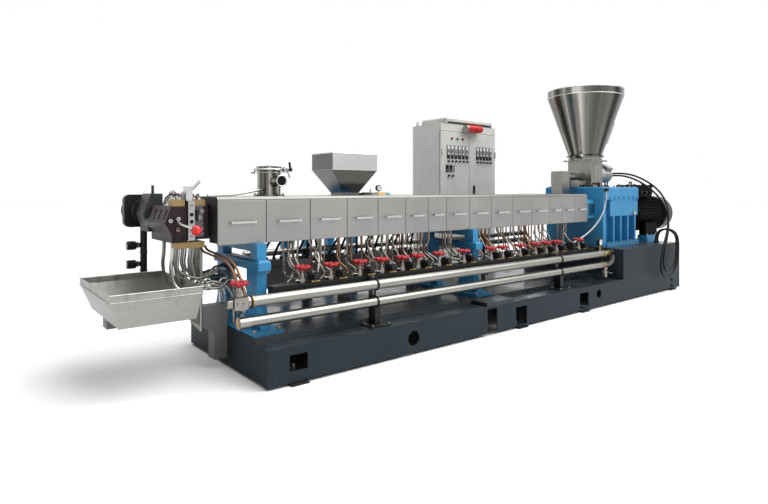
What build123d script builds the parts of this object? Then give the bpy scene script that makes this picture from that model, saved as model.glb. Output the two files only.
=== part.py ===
"""Parallel twin-screw compounding extruder with its side feeder, main feeder and control cabinet.

Lengths are in millimetres. +X runs from the die end to the drive end, +Y to the rear and +Z up.
The pieces are drawn from the die-end front corner of the base, and are moved at the end so that
the origin is under the middle of the whole set, on the floor.
"""
import os
from math import cos, pi, radians, sin, tan

from build123d import *

# Fits shared by all pieces
running_gap = 0.3
overrun = 5
door_gap = 5

# Base frame, welded from plates
base_length = 6070
base_width = 1400
base_underside = 18
base_plate = 12
ledge_top = 260
ledge_width = 185
bed_rise = 36
plinth_start = 4575
plinth_top = 610
pocket_bottom = 32
pocket_corner = 8
square_pocket_width = 170
square_pocket_height = 170
square_pocket_shares = (0.4364, 0.6158)
end_pocket_width = 140
end_pocket_bottom = 94
end_pocket_height = 110
end_pocket_share = 0.0377
tall_pocket_width = 134
tall_pocket_height = 204
tall_pocket_share = 0.3667
cable_hole_diameter = 120
cable_hole_height = 132
cable_hole_share = 0.2092
vent_hole_diameter = 95
vent_hole_height = 158
vent_hole_share = 0.6651
bolt_slot_width = 22
bolt_slot_length = 44
bolt_slot_heights = (52, 128)
bolt_slot_share = 0.962
ledge_block_length = 371
ledge_block_share = 0.3544

# Levelling feet
foot_shares = (0.0377, 0.4364, 0.6158, 0.962)
foot_inset = 78
foot_disc_radius = 58
foot_disc_height = 9
foot_stud_radius = 12
foot_stud_top = 120
foot_nut_radius = 20
foot_nut_height = 18
foot_bracket_length = 190
foot_bracket_depth = 120

# Barrel supports
support_die_x = 128
support_middle_x = 2390
support_plate_length = 232
support_plate_thickness = 25
support_plate_front = 230
support_column_front = 345
support_column_length = 74
support_leg_depth = 170
support_neck_depth = 110
support_bar_length = 98
support_bar_front = 300
support_bar_bottom = 735
support_bar_height = 72
support_bar_chamfer = 16
support_saddle_width = 300
support_beam_height = 60
gusset_height = 150
gusset_reach = 60

# Barrel
barrel_start = -210
barrel_end = 4480
barrel_axis = 1075
barrel_width = 260
barrel_height = 200
barrel_flange_rise = 25
barrel_flange_length = 46
barrel_section_count = 13

# Barrel cover
cover_start = -175
cover_width = 600
cover_bottom = 923
panel_height = 309
panel_depth = 20
panel_sheet = 3
panel_seam = 4
panel_edge_shares = (
    0.0, 0.0788, 0.1583, 0.2326, 0.3012, 0.3678, 0.4266, 0.4775,
    0.5461, 0.6157, 0.6900, 0.7607, 0.8326, 0.8846, 0.9422, 1.0,
)
panel_corner = 3
lid_rise = 25
lid_edge = 8
lid_sheet = 4
rail_width = 30
rail_margin = 12
cover_bracket_thickness = 10
cover_bracket_count = 7
cover_end_sheet = 4
handle_length_share = 0.52
handle_height_share = 0.5
handle_bar_height = 16
handle_bar_depth = 9
handle_reach = 30
handle_post_length = 18

# Die head and screen changer
die_start = -495
die_length = 149
die_front_reach = 200
die_width = 450
die_bottom = 949
die_height = 245
die_top_setback = 41
die_nose_height = 131
die_low_setback = 45
die_low_height = 56
die_slot_width = 22
die_slot_length_share = 0.62
die_slot_depth = 16
die_slot_count = 4
clamp_bar_length = 44
clamp_bar_width = 440
clamp_bar_bottom = 962
clamp_bar_height = 270
clamp_bar_hole_radius = 14
clamp_bar_hole_depth = 40
clamp_bar_hole_shares = (0.46, 0.64)
socket_plate_length = 62
socket_plate_width = 416
socket_plate_bottom = 985
socket_plate_height = 210
socket_radius = 24
socket_bore = 11
socket_height = 14
socket_shares = (0.62, 0.84)
adaptor_flange_width = 390
adaptor_flange_bottom = 968
adaptor_flange_height = 222
heater_plate_thickness = 42
heater_plate_inset = 12
heater_plate_depth = 90
heater_low_margin = 30
heater_top_length = 84
heater_hole_radius = 13
heater_hole_count = 2
changer_width = 200
changer_start = -508
changer_length = 137
changer_bottom = 1000
changer_height = 278
changer_top_setback = 52
changer_nose_height = 128
changer_low_setback = 36
changer_low_height = 34
changer_pin_radius = 10
changer_pin_height = 62
ram_axis_drop = 133
ram_radius = 88
ram_length = 96
ram_flange_size = 250
ram_flange_thickness = 58
ram_flange_corner = 44
ram_cap_radius = 100
ram_cap_length = 150
manifold_pipe_radius = 25
manifold_pipe_length = 500
manifold_pipe_gap = 38
coupling_neck_radius = 18
coupling_radius = 32
coupling_length = 60
coupling_height_shares = (0.23, 0.515)
toggle_base_thickness = 22
toggle_base_width = 120
toggle_width = 58
toggle_height = 96
toggle_lever_radius = 10
toggle_lever_reach = 60
toggle_lever_rise = 86
lever_rod_radius = 9
lever_rod_rise_share = 0.57
lever_rod_place_share = 0.5
lever_ball_reach = 195
lever_ball_drop = 48
lever_ball_side = 65
lever_ball_radius = 33

# Strand tray
tray_rim_start = -880
tray_rim_length = 560
tray_front_reach = 420
tray_rim_width = 870
tray_rim_top = 681
tray_rim_fold = 48
tray_depth = 218
tray_floor_length = 470
tray_floor_width = 755
tray_sheet = 4
tray_arm_width = 110
tray_arm_height = 60
tray_post_length = 100
tray_brace_reach = 200
tray_post_bottom = 70

# Vent stack
vent_x = 366
vent_radius = 90
vent_wall = 5
vent_height = 300
vent_flange_radius = 112
vent_flange_height = 20
vent_collar_radius = 122
vent_collar_height = 12
vent_branch_radius = 39
vent_branch_length = 118
vent_branch_flange_radius = 46
vent_branch_flange_length = 9
vent_branch_height_share = 0.54
vent_branch_angle = -90

# Side feeder
side_feeder_x = 1485
side_feeder_width = 240
side_feeder_body_height = 230
side_feeder_length = 700
side_stand_length = 640
side_stand_width = 520
side_stand_top = 900
side_stand_leg = 80
side_hopper_top = 1660
side_hopper_band = 160
side_hopper_length = 537
side_hopper_width = 360
side_hopper_neck = 200
side_hopper_sheet = 3
side_hopper_neck_height = 90
side_drive_radius = 42
side_drive_length = 464
side_drive_axis_rise = 45
side_motor_radius = 105
side_motor_length = 330
side_motor_flange = 30

# Control cabinet
cabinet_start = 3576
cabinet_length = 1117
cabinet_front = 2000
cabinet_depth = 560
cabinet_height = 2210
cabinet_header_height = 100
cabinet_plinth_height = 100
cabinet_wall = 20
cabinet_floor = 20
cabinet_top_sheet = 12
roof_cap_inset = 90
roof_cap_height = 84
roof_cap_front_reach = 14
roof_cap_slot_height = 34
roof_cap_slot_depth = 120
roof_cap_edge = 16
door_thickness = 24
door_edge = 4
hinge_inset = 14
hinge_pin_radius = 6
hinge_pin_length = 25
door_back_gap = 12
beacon_length = 330
beacon_base_length = 60
beacon_radius = 48
beacon_waist_radius = 41
beacon_waist_length = 16
beacon_post_radius = 22
beacon_reach = 62
beacon_share = 0.37

# Gearbox
gearbox_start = 4660
gearbox_end = 5527
gearbox_width = 800
gearbox_height = 735
gearbox_wall_length = 70
gearbox_foot_height = 40
gearbox_foot_reach = 14
gearbox_core_inset = 70
gearbox_band_start = 4828
gearbox_band_bottom = 980
gearbox_cover_height = 155
gearbox_cover_reach = 8
gearbox_cover_chamfer = 14
gearbox_rib_thickness = 34
gearbox_rib_shares = (0.3, 0.5, 0.71, 0.922)
lifting_eye_radius = 30
lifting_eye_bar = 9
lifting_eye_foot = 26
lifting_eye_shares = (0.14, 0.84)

# Lantern between barrel and gearbox
lantern_width = 480
lantern_bottom = 965
lantern_height = 225
guard_sheet = 4
guard_bulge = 40
guard_hole_radius = 13
guard_hole_pitch = 32
guard_columns = 4
guard_rows = 5

# Main motor
motor_axis_height = 976
motor_axis_offset = 140
motor_bell_length = 130
motor_bell_radius = 200
motor_length = 760
motor_radius = 215
motor_fin_height = 24
motor_fin_thickness = 7
motor_fin_sink = 4
motor_fin_count = 40
motor_foot_length = 320
motor_foot_width = 92
motor_foot_start = 85
motor_foot_span = 440
motor_rail_height = 90
motor_rail_width = 130
motor_rail_length = 326
cowl_length = 245
cowl_radius = 240
cowl_chamfer = 46
terminal_box_length = 520
terminal_box_width = 250
terminal_box_height = 158
terminal_box_start = 60
terminal_box_corner = 16

# Main feeder on the gearbox
throat_start = 4798
throat_length = 265
throat_width = 340
throat_height = 345
throat_corner = 10
throat_flange_reach = 42
throat_flange_thickness = 14
neck_band_height = 44
hopper_ring_radius = 232
hopper_ring_height = 16
hopper_neck_radius = 205
hopper_rim_radius = 470
hopper_cone_height = 760
hopper_rim_height = 90
hopper_sheet = 4
screw_tube_radius = 46
screw_tube_axis_share = 0.39
chute_start = 4290
chute_length = 160
chute_width = 150
chute_top = 1540
chute_sheet = 4
gear_motor_axis_share = 0.478
gear_motor_flange = 40
gear_motor_flange_radius = 120
gear_motor_body_length = 160
gear_motor_radius = 108
gear_motor_drive_length = 190
gear_motor_drive_radius = 92
gear_motor_box_length = 120
gear_motor_box_width = 110
gear_motor_box_height = 70
gear_motor_box_sink = 20
gear_motor_box_tilt = 32
feeder_foot_height = 30
feeder_foot_reach = 40

# Cooling water pipes and valves
pipe_radius = 38
pipe_wall = 4
pipe_y = 120
upper_pipe_z = 572
lower_pipe_z = 440
upper_pipe_start = -98
lower_pipe_start = -146
pipes_end = 4308
stand_shares = (0.1615, 0.5705)
stand_foot_length = 190
stand_foot_height = 10
stand_foot_front = 34
stand_plate_length = 64
stand_plate_thickness = 12
stand_post_length = 52
strap_thickness = 7
strap_width = 12
trunk_start = 150
trunk_end = 4300
trunk_front = 205
trunk_width = 92
trunk_bottom = 548
trunk_height = 84
valve_shares = (
    0.0612, 0.1210, 0.1865, 0.2402, 0.2935, 0.3359, 0.3969, 0.4749,
    0.5670, 0.6089, 0.6761, 0.7393, 0.7843, 0.8313, 0.9361,
)
valve_body_radius = 21
valve_body_height = 34
valve_bonnet_radius = 13
valve_bonnet_height = 36
valve_rise = 30
handwheel_radius = 56
handwheel_rim_radius = 9
handwheel_hub_radius = 14
handwheel_hub_height = 18
handwheel_spokes = 5
solenoid_size = 62
solenoid_height = 66
solenoid_offset = 92
riser_radius = 7
riser_spacing = 30
riser_bend = 70
riser_corner_radius = 42
riser_shift = 14
main_valve_length = 92
main_valve_height = 78
main_valve_stem = 70

# Two cables from the feeder's gear motor to the plinth, and the gearbox's oil hose
cord_bend_share = 0.45
cable_diameter = 24
cable_gland_radius = 20
hose_diameter = 16
hose_fitting_size = 40
front_cable_route = (
    (5493, 662, 1535), (5575, 662, 1535), (5660, 610, 1540), (5727, 498, 1524), (5770, 362, 1466),
    (5792, 222, 1374), (5790, 100, 1250), (5745, 10, 1095), (5660, -42, 930), (5550, -66, 765),
    (5440, -74, 610), (5365, -75, 465), (5355, -75, 325), (5425, -75, 228), (5540, -75, 195),
    (5665, -75, 220), (5775, -75, 300), (5840, -75, 420), (5862, -74, 560), (5850, -72, 720),
    (5840, 0, 792), (5826, 100, 794), (5814, 172, 724), (5814, 172, 630),
)
rear_cable_route = (
    (5493, 742, 1500), (5580, 742, 1500), (5675, 690, 1512), (5755, 588, 1504), (5812, 460, 1450),
    (5844, 335, 1368), (5842, 205, 1260), (5808, 88, 1132), (5738, 4, 985), (5645, -46, 830),
    (5545, -68, 685), (5458, -76, 550), (5420, -77, 418), (5458, -77, 315), (5548, -77, 268),
    (5650, -77, 282), (5738, -77, 350), (5788, -77, 450), (5804, -75, 572), (5795, -72, 722),
    (5784, 0, 790), (5768, 100, 792), (5756, 171, 722), (5756, 171, 630),
)
hose_route = (
    (4690, 272, 1290), (4690, 272, 1212), (4670, 275, 1130), (4632, 280, 1045), (4575, 288, 965),
    (4498, 297, 893), (4405, 307, 830), (4300, 317, 777), (4190, 326, 735), (4088, 332, 704),
    (4030, 334, 688), (3975, 334, 688),
)

# Rear pipes and cable trunk
rear_pipe_radius = 30
rear_pipe_inset = 118
rear_pipe_heights = (652, 738)
rear_pipe_start = 420
rear_pipe_end = 4450
rear_trunk_start = 420
rear_trunk_length = 1800
rear_trunk_inset = 415
rear_trunk_width = 120
rear_trunk_bottom = 470
rear_trunk_height = 170
rear_trunk_leg = 60
rear_trunk_leg_shares = (0, 0.5, 1)

# Heights and planes that follow from the sizes above
centre_y = base_width / 2
bed_top = ledge_top + bed_rise
bed_edge = ledge_width + bed_rise
cover_front = centre_y - cover_width / 2
cover_back = base_width - cover_front
cover_length = barrel_end - cover_start
panel_top = cover_bottom + panel_height
lid_top = panel_top + lid_rise
barrel_top = barrel_axis + barrel_height / 2
barrel_bottom = barrel_axis - barrel_height / 2
barrel_front = centre_y - barrel_width / 2
die_front = centre_y - die_front_reach
die_end = die_start + die_length
die_back = die_front + die_width
gearbox_top = plinth_top + gearbox_height
gearbox_body_top = gearbox_top - gearbox_cover_height
gearbox_front = centre_y - gearbox_width / 2
gearbox_length = gearbox_end - gearbox_start
motor_axis_y = centre_y - motor_axis_offset
motor_start = gearbox_end + motor_bell_length
motor_end = motor_start + motor_length
cowl_end = motor_end + cowl_length
trunk_top = trunk_bottom + trunk_height
trunk_middle = trunk_front + trunk_width / 2
cabinet_end = cabinet_start + cabinet_length
cabinet_back = cabinet_front + cabinet_depth
cabinet_header_bottom = cabinet_height - cabinet_header_height
tray_floor_z = tray_rim_top - tray_depth
handwheel_z = trunk_top + valve_body_height + valve_rise + valve_bonnet_height

# The origin: under the middle of the whole set
origin_x = (tray_rim_start + cowl_end) / 2
origin_y = cabinet_back / 2

nodes = {}


def block(x, y, z):
    """Box between a pair of limits along each axis."""
    corner = (Align.MIN, Align.MIN, Align.MIN)
    return Pos(x[0], y[0], z[0]) * Box(x[1] - x[0], y[1] - y[0], z[1] - z[0], align=corner)


def bar_x(x, y, z, radius):
    """Round bar along X between two limits."""
    return extrude(Plane((x[0], y, z), z_dir=(1, 0, 0)) * Circle(radius), x[1] - x[0])


def bar_y(x, y, z, radius):
    """Round bar along Y between two limits."""
    return extrude(Plane((x, y[0], z), z_dir=(0, 1, 0)) * Circle(radius), y[1] - y[0])


def bar_z(x, y, z, radius):
    """Round bar along Z between two limits."""
    return Pos(x, y, z[0]) * extrude(Circle(radius), z[1] - z[0])


def prism_x(x, outline):
    """Solid of a closed (y, z) outline between two limits along X."""
    points = [(x[0], y, z) for y, z in outline]
    return extrude(make_face(Polyline(*points, close=True)), x[1] - x[0], dir=(1, 0, 0))


def prism_y(y, outline):
    """Solid of a closed (x, z) outline between two limits along Y."""
    points = [(x, y[0], z) for x, z in outline]
    return extrude(make_face(Polyline(*points, close=True)), y[1] - y[0], dir=(0, 1, 0))


def turned(x, y, outline):
    """Solid of a closed (radius, z) outline turned about a vertical axis."""
    points = [(radius, 0, z) for radius, z in outline]
    return Pos(x, y, 0) * revolve(make_face(Polyline(*points, close=True)), Axis.Z)


def rear_twin(shape):
    """The same shape on the other side of the machine's middle plane."""
    return mirror(shape, about=Plane((0, centre_y, 0), z_dir=(0, 1, 0)))


def between(start, end, share):
    """Place at a share of the way from start to end."""
    return start + (end - start) * share


def add(name, *solids):
    """Keep solids that don't touch each other as one named piece."""
    nodes[name] = solids


# Base frame

def base_face_plate():
    """Front plate of the base and plinth, with its pockets and holes."""
    outline = [
        (0, base_underside), (base_length, base_underside), (base_length, plinth_top),
        (plinth_start, plinth_top), (plinth_start, ledge_top), (0, ledge_top),
    ]
    plate = prism_y((0, base_plate), outline)
    cut = (-overrun, base_plate + overrun)
    pockets = [(share, square_pocket_width, pocket_bottom, square_pocket_height)
               for share in square_pocket_shares]
    pockets.append((end_pocket_share, end_pocket_width, end_pocket_bottom, end_pocket_height))
    pockets.append((tall_pocket_share, tall_pocket_width, pocket_bottom, tall_pocket_height))
    for share, width, bottom, height in pockets:
        middle = base_length * share
        hole = block((middle - width / 2, middle + width / 2), cut, (bottom, bottom + height))
        plate -= fillet(hole.edges().filter_by(Axis.Y), pocket_corner)
    plate -= bar_y(base_length * cable_hole_share, cut, cable_hole_height, cable_hole_diameter / 2)
    plate -= bar_y(base_length * vent_hole_share, cut, vent_hole_height, vent_hole_diameter / 2)
    for height in bolt_slot_heights:
        middle = base_length * bolt_slot_share
        limits = (height - bolt_slot_length / 2, height + bolt_slot_length / 2)
        plate -= block((middle - bolt_slot_width / 2, middle + bolt_slot_width / 2), cut, limits)
    return plate


def deck_outline(drop):
    """Top line of the deck from front to rear, lowered by drop."""
    front = [(base_plate, ledge_top), (ledge_width, ledge_top), (bed_edge, bed_top)]
    rear = [(base_width - y, z) for y, z in reversed(front)]
    return [(y, z - drop) for y, z in front + rear]


def base_frame():
    front_plate = base_face_plate()
    for share in foot_shares:
        front_plate += foot_bracket(base_length * share)
    add("base_front_plate", front_plate)
    add("base_rear_plate", rear_twin(front_plate))
    deck = deck_outline(0) + list(reversed(deck_outline(base_plate)))
    bed = prism_x((base_plate, plinth_start), deck)
    inside = (base_plate, base_width - base_plate)
    below = [(inside[1], base_underside), (inside[0], base_underside)]
    die_end_plate = prism_x((0, base_plate), deck_outline(0) + below)
    under_top = (base_underside, plinth_top - base_plate)
    step_plate = block((plinth_start, plinth_start + base_plate), inside, under_top)
    drive_end_plate = block((base_length - base_plate, base_length), inside, under_top)
    add("base_end_plates", die_end_plate, step_plate, drive_end_plate)
    top = (plinth_top - base_plate, plinth_top)
    start = base_length * ledge_block_share
    raised = block((start, start + ledge_block_length), (0, ledge_width), (ledge_top, bed_top))
    bed += raised + rear_twin(raised)
    add("base_decks", bed, block((plinth_start, base_length), inside, top))


def foot_bracket(x):
    """Shelf inside the front plate that a levelling screw passes through."""
    ends = (x - foot_bracket_length / 2, x + foot_bracket_length / 2)
    depth = (base_plate, base_plate + foot_bracket_depth)
    shelf = block(ends, depth, (base_underside, base_underside + base_plate))
    return shelf - bar_z(x, foot_inset, (0, foot_stud_top), foot_stud_radius + running_gap)


def levelling_feet():
    feet = []
    for share in foot_shares:
        x = base_length * share
        stud = bar_z(x, foot_inset, (0, foot_disc_height), foot_disc_radius)
        stud += bar_z(x, foot_inset, (foot_disc_height, foot_stud_top), foot_stud_radius)
        lower = Pos(x, foot_inset, foot_disc_height) * extrude(
            RegularPolygon(foot_nut_radius, 6), base_underside - foot_disc_height)
        bracket_top = base_underside + base_plate
        upper = Pos(x, foot_inset, bracket_top) * extrude(
            RegularPolygon(foot_nut_radius, 6), foot_nut_height)
        foot = stud + lower + upper
        feet += [foot, rear_twin(foot)]
    add("levelling_feet", *feet)


# Barrel and what carries it

def support(x):
    """Portal that carries the barrel: plate, two legs, cross bar, two necks and a saddle."""
    plate_ends = (x - support_plate_length / 2, x + support_plate_length / 2)
    plate_top = bed_top + support_plate_thickness
    rear = base_width - support_plate_front
    frame = block(plate_ends, (support_plate_front, rear), (bed_top, plate_top))
    column = (x - support_column_length / 2, x + support_column_length / 2)
    bar_top = support_bar_bottom + support_bar_height
    beam_bottom = cover_bottom - support_beam_height
    leg = (support_column_front, support_column_front + support_leg_depth)
    neck = (support_column_front, support_column_front + support_neck_depth)
    side = block(column, leg, (plate_top, support_bar_bottom))
    gusset = [
        (leg[0], plate_top), (leg[0] - gusset_reach, plate_top), (leg[0], plate_top + gusset_height),
    ]
    side += prism_x(column, gusset)
    gusset_rear = [
        (leg[1], plate_top), (leg[1] + gusset_reach, plate_top), (leg[1], plate_top + gusset_height),
    ]
    side += prism_x(column, gusset_rear)
    side += block(column, neck, (bar_top, cover_bottom))
    frame += side + rear_twin(side)
    bar_ends = (x - support_bar_length / 2, x + support_bar_length / 2)
    bar_span = (support_bar_front, base_width - support_bar_front)
    bar = block(bar_ends, bar_span, (support_bar_bottom, bar_top))
    frame += chamfer(bar.edges().group_by(Axis.Z)[-1], support_bar_chamfer)
    frame += block(column, (neck[0], base_width - neck[0]), (beam_bottom, cover_bottom))
    saddle = (centre_y - support_saddle_width / 2, centre_y + support_saddle_width / 2)
    frame += block(column, saddle, (cover_bottom, barrel_bottom))
    return frame


def barrel():
    """Bolted barrel sections with a flange at each end, flat along the bottom."""
    body = block((barrel_start, barrel_end), (barrel_front, base_width - barrel_front),
                 (barrel_bottom, barrel_top))
    width = barrel_width / 2 + barrel_flange_rise
    for index in range(barrel_section_count + 1):
        joint = between(barrel_start, barrel_end, index / barrel_section_count)
        start = max(joint - barrel_flange_length / 2, barrel_start)
        end = min(joint + barrel_flange_length / 2, barrel_end)
        body += block((start, end), (centre_y - width, centre_y + width),
                      (barrel_bottom, barrel_top + barrel_flange_rise))
    return body


def cover_panel(start, end):
    """One folded cover panel, open at the back."""
    shell = block((start, end), (cover_front, cover_front + panel_depth), (cover_bottom, panel_top))
    shell = fillet(shell.edges().group_by(Axis.Y)[0], panel_corner)
    inner_x = (start + panel_sheet, end - panel_sheet)
    inner_y = (cover_front + panel_sheet, cover_front + panel_depth + overrun)
    shell -= block(inner_x, inner_y, (cover_bottom + panel_sheet, panel_top - panel_sheet))
    return shell


def panel_handle(start, end):
    """Bar handle across the middle of a panel, on two posts."""
    middle = (start + end) / 2
    half = (end - start) * handle_length_share / 2
    height = cover_bottom + panel_height * handle_height_share
    tall = (height - handle_bar_height / 2, height + handle_bar_height / 2)
    outer = cover_front - handle_reach
    handle = block((middle - half, middle + half), (outer, outer + handle_bar_depth), tall)
    for post in (middle - half, middle + half - handle_post_length):
        handle += block((post, post + handle_post_length), (outer, cover_front), tall)
    return handle


def cover_lid():
    """Folded top sheet with bent edges, open for the vent and the feed chute."""
    outer = [(cover_front, panel_top), (cover_front, panel_top + lid_edge),
             (cover_front + lid_rise - lid_edge, lid_top)]
    bend = lid_sheet * tan(radians(45 / 2))
    inner = [(cover_front + lid_sheet, panel_top), (cover_front + lid_sheet, panel_top + lid_edge - bend),
             (cover_front + lid_rise - lid_edge + bend, lid_top - lid_sheet)]
    rim = outer + [(base_width - y, z) for y, z in reversed(outer)]
    hollow = inner + [(base_width - y, z) for y, z in reversed(inner)]
    lid = prism_x((cover_start, barrel_end), rim + list(reversed(hollow)))
    lid -= bar_z(vent_x, centre_y, (panel_top, lid_top + overrun), vent_radius + running_gap)
    chute_y = (centre_y - chute_width / 2 - running_gap, centre_y + chute_width / 2 + running_gap)
    chute_x = (chute_start - running_gap, chute_start + chute_length + running_gap)
    lid -= block(chute_x, chute_y, (panel_top, lid_top + overrun))
    return lid


def cover_carrier():
    """Rails behind the front panels, with brackets from the barrel to panels and lid."""
    rail_y = (cover_front + panel_depth, cover_front + panel_depth + rail_width)
    ends = (cover_start + cover_end_sheet, barrel_end - cover_end_sheet)
    low = cover_bottom + rail_margin
    high = panel_top - rail_margin
    carrier = block(ends, rail_y, (low, low + rail_width))
    carrier += block(ends, rail_y, (high - rail_width, high))
    section = (barrel_end - barrel_start) / barrel_section_count
    for index in range(cover_bracket_count):
        number = 2 * index
        middle = barrel_start + section * (number + 1 / 2)
        span = (middle - cover_bracket_thickness / 2, middle + cover_bracket_thickness / 2)
        carrier += block(span, (rail_y[1], barrel_front), (low, lid_top - lid_sheet))
    return carrier


def cover_end_plate(x):
    """End sheet of the cover, open around the barrel's flange."""
    inside = (cover_front + panel_depth, base_width - cover_front - panel_depth)
    sheet = block((x, x + cover_end_sheet), inside, (cover_bottom + rail_margin, lid_top - lid_sheet))
    half = barrel_width / 2 + barrel_flange_rise + running_gap
    hole = (centre_y - half, centre_y + half)
    tall = (cover_bottom, barrel_top + barrel_flange_rise + running_gap)
    return sheet - block((x - overrun, x + cover_end_sheet + overrun), hole, tall)


def barrel_and_cover():
    add("barrel_supports", support(support_die_x), support(support_middle_x))
    add("barrel", barrel())
    edges = [between(cover_start, barrel_end, share) for share in panel_edge_shares]
    spans = [(start + panel_seam / 2, end - panel_seam / 2) for start, end in zip(edges, edges[1:])]
    panels = [cover_panel(*span) for span in spans]
    handles = [panel_handle(*span) for span in spans]
    add("cover_panels", *panels, *[rear_twin(panel) for panel in panels])
    reach = side_feeder_width / 2
    clear = [handle for span, handle in zip(spans, handles)
             if span[1] < side_feeder_x - reach or span[0] > side_feeder_x + reach]
    add("panel_handles", *handles, *[rear_twin(handle) for handle in clear])
    add("cover_lid", cover_lid())
    carrier = cover_carrier()
    ends = cover_end_plate(cover_start) + cover_end_plate(barrel_end - cover_end_sheet)
    add("cover_frame", carrier + rear_twin(carrier) + ends)


# Die head

def nosed_outline(x, z, low_setback, low_height, nose_height, top_setback):
    """(x, z) outline of a block whose -X side comes to a blunt nose."""
    return [
        (x[0] + low_setback, z[0]), (x[1], z[0]), (x[1], z[1]), (x[0] + top_setback, z[1]),
        (x[0], z[0] + nose_height), (x[0] + low_setback, z[0] + low_height),
    ]


def across(width):
    """Limits along Y of a piece centred on the machine."""
    return (centre_y - width / 2, centre_y + width / 2)


def die_body():
    """Die block with heater slots in the upper slope of its nose."""
    die_x = (die_start, die_end)
    die_z = (die_bottom, die_bottom + die_height)
    outline = nosed_outline(die_x, die_z, die_low_setback, die_low_height, die_nose_height, die_top_setback)
    body = prism_y((die_front, die_back), outline)
    slope = Vector(die_top_setback, 0, die_height - die_nose_height)
    middle = Vector(die_start, die_front, die_bottom + die_nose_height) + slope / 2
    face = Plane(middle, x_dir=(0, 1, 0), z_dir=(-slope.Z, 0, slope.X))
    for number in range(die_slot_count):
        y = die_width * (number + 1 / 2) / die_slot_count
        slot = Pos(y, 0) * Rectangle(die_slot_width, slope.length * die_slot_length_share)
        body -= extrude(face.offset(overrun) * slot, -die_slot_depth - overrun)
    return body


def die_head():
    die_top = die_bottom + die_height
    bar_x_limits = (die_end, die_end + clamp_bar_length)
    bar_y_limits = across(clamp_bar_width)
    bar_top = clamp_bar_bottom + clamp_bar_height
    clamp_bar = block(bar_x_limits, bar_y_limits, (clamp_bar_bottom, bar_top))
    for share in clamp_bar_hole_shares:
        z = between(clamp_bar_bottom, bar_top, share)
        hole = (bar_y_limits[0] - overrun, bar_y_limits[0] + clamp_bar_hole_depth)
        clamp_bar -= bar_y(sum(bar_x_limits) / 2, hole, z, clamp_bar_hole_radius)
    add("die_clamp_bar", clamp_bar)

    socket_x = (bar_x_limits[1], bar_x_limits[1] + socket_plate_length)
    socket_y = across(socket_plate_width)
    socket_top = socket_plate_bottom + socket_plate_height
    adaptor = block(socket_x, socket_y, (socket_plate_bottom, socket_top))
    for share in socket_shares:
        z = between(socket_plate_bottom, socket_top, share)
        x = sum(socket_x) / 2
        front = (socket_y[0] - socket_height, socket_y[0])
        adaptor += bar_y(x, front, z, socket_radius)
        adaptor -= bar_y(x, (front[0] - overrun, front[1]), z, socket_bore)
    add("die_adaptor", adaptor)

    flange_z = (adaptor_flange_bottom, adaptor_flange_bottom + adaptor_flange_height)
    flange = block((socket_x[1], barrel_start), across(adaptor_flange_width), flange_z)
    add("die_block", die_body(), flange)

    inset = heater_plate_inset
    plate_y = (die_front + inset, die_front + inset + heater_plate_depth)
    upper_x = (die_end - inset - heater_top_length, die_end - inset)
    upper = block(upper_x, plate_y, (die_top, die_top + heater_plate_thickness))
    for number in range(heater_hole_count):
        y = between(*plate_y, (number + 1 / 2) / heater_hole_count)
        tall = (die_top - overrun, die_top + heater_plate_thickness + overrun)
        upper -= bar_z(sum(upper_x) / 2, y, tall, heater_hole_radius)
    middle_x = (socket_x[0] + running_gap, barrel_start - inset)
    middle_y = (socket_y[0] + inset, socket_y[0] + inset + heater_plate_depth)
    middle = block(middle_x, middle_y, (socket_top, socket_top + heater_plate_thickness))
    lower_x = (die_start + die_low_setback + heater_low_margin, barrel_start - inset)
    lower = block(lower_x, plate_y, (die_bottom - heater_plate_thickness, die_bottom))
    add("die_heater_plates", upper, middle, lower)

    base_low = die_top + heater_plate_thickness
    toggle_y = plate_y[0] + inset
    base_y = (plate_y[1] + running_gap, plate_y[1] + running_gap + toggle_base_width)
    base = block(grown(upper_x, -inset), base_y, (die_top, base_low + toggle_base_thickness))
    toggle = block(bar_x_limits, (toggle_y, toggle_y + toggle_width), (bar_top, bar_top + toggle_height))
    root = Vector(sum(bar_x_limits) / 2, toggle_y + toggle_width / 2, bar_top + toggle_height / 2)
    tip = root + Vector(toggle_lever_reach, -toggle_lever_reach, toggle_lever_rise)
    toggle += extrude(Plane(root, z_dir=tip - root) * Circle(toggle_lever_radius), (tip - root).length)
    lever_z = between(die_bottom, die_top, lever_rod_rise_share)
    foot = Vector(between(die_start, die_end, lever_rod_place_share), die_front, lever_z)
    end = foot + Vector(lever_ball_side, -lever_ball_reach, -lever_ball_drop)
    rod = extrude(Plane(foot, z_dir=end - foot) * Circle(lever_rod_radius), (end - foot).length)
    rod -= block((die_start, die_end), (die_front, die_back), (die_bottom, die_top))
    add("die_levers", base, toggle, rod)
    add("lever_ball", Pos(*end) * Sphere(lever_ball_radius) - rod)


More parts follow.
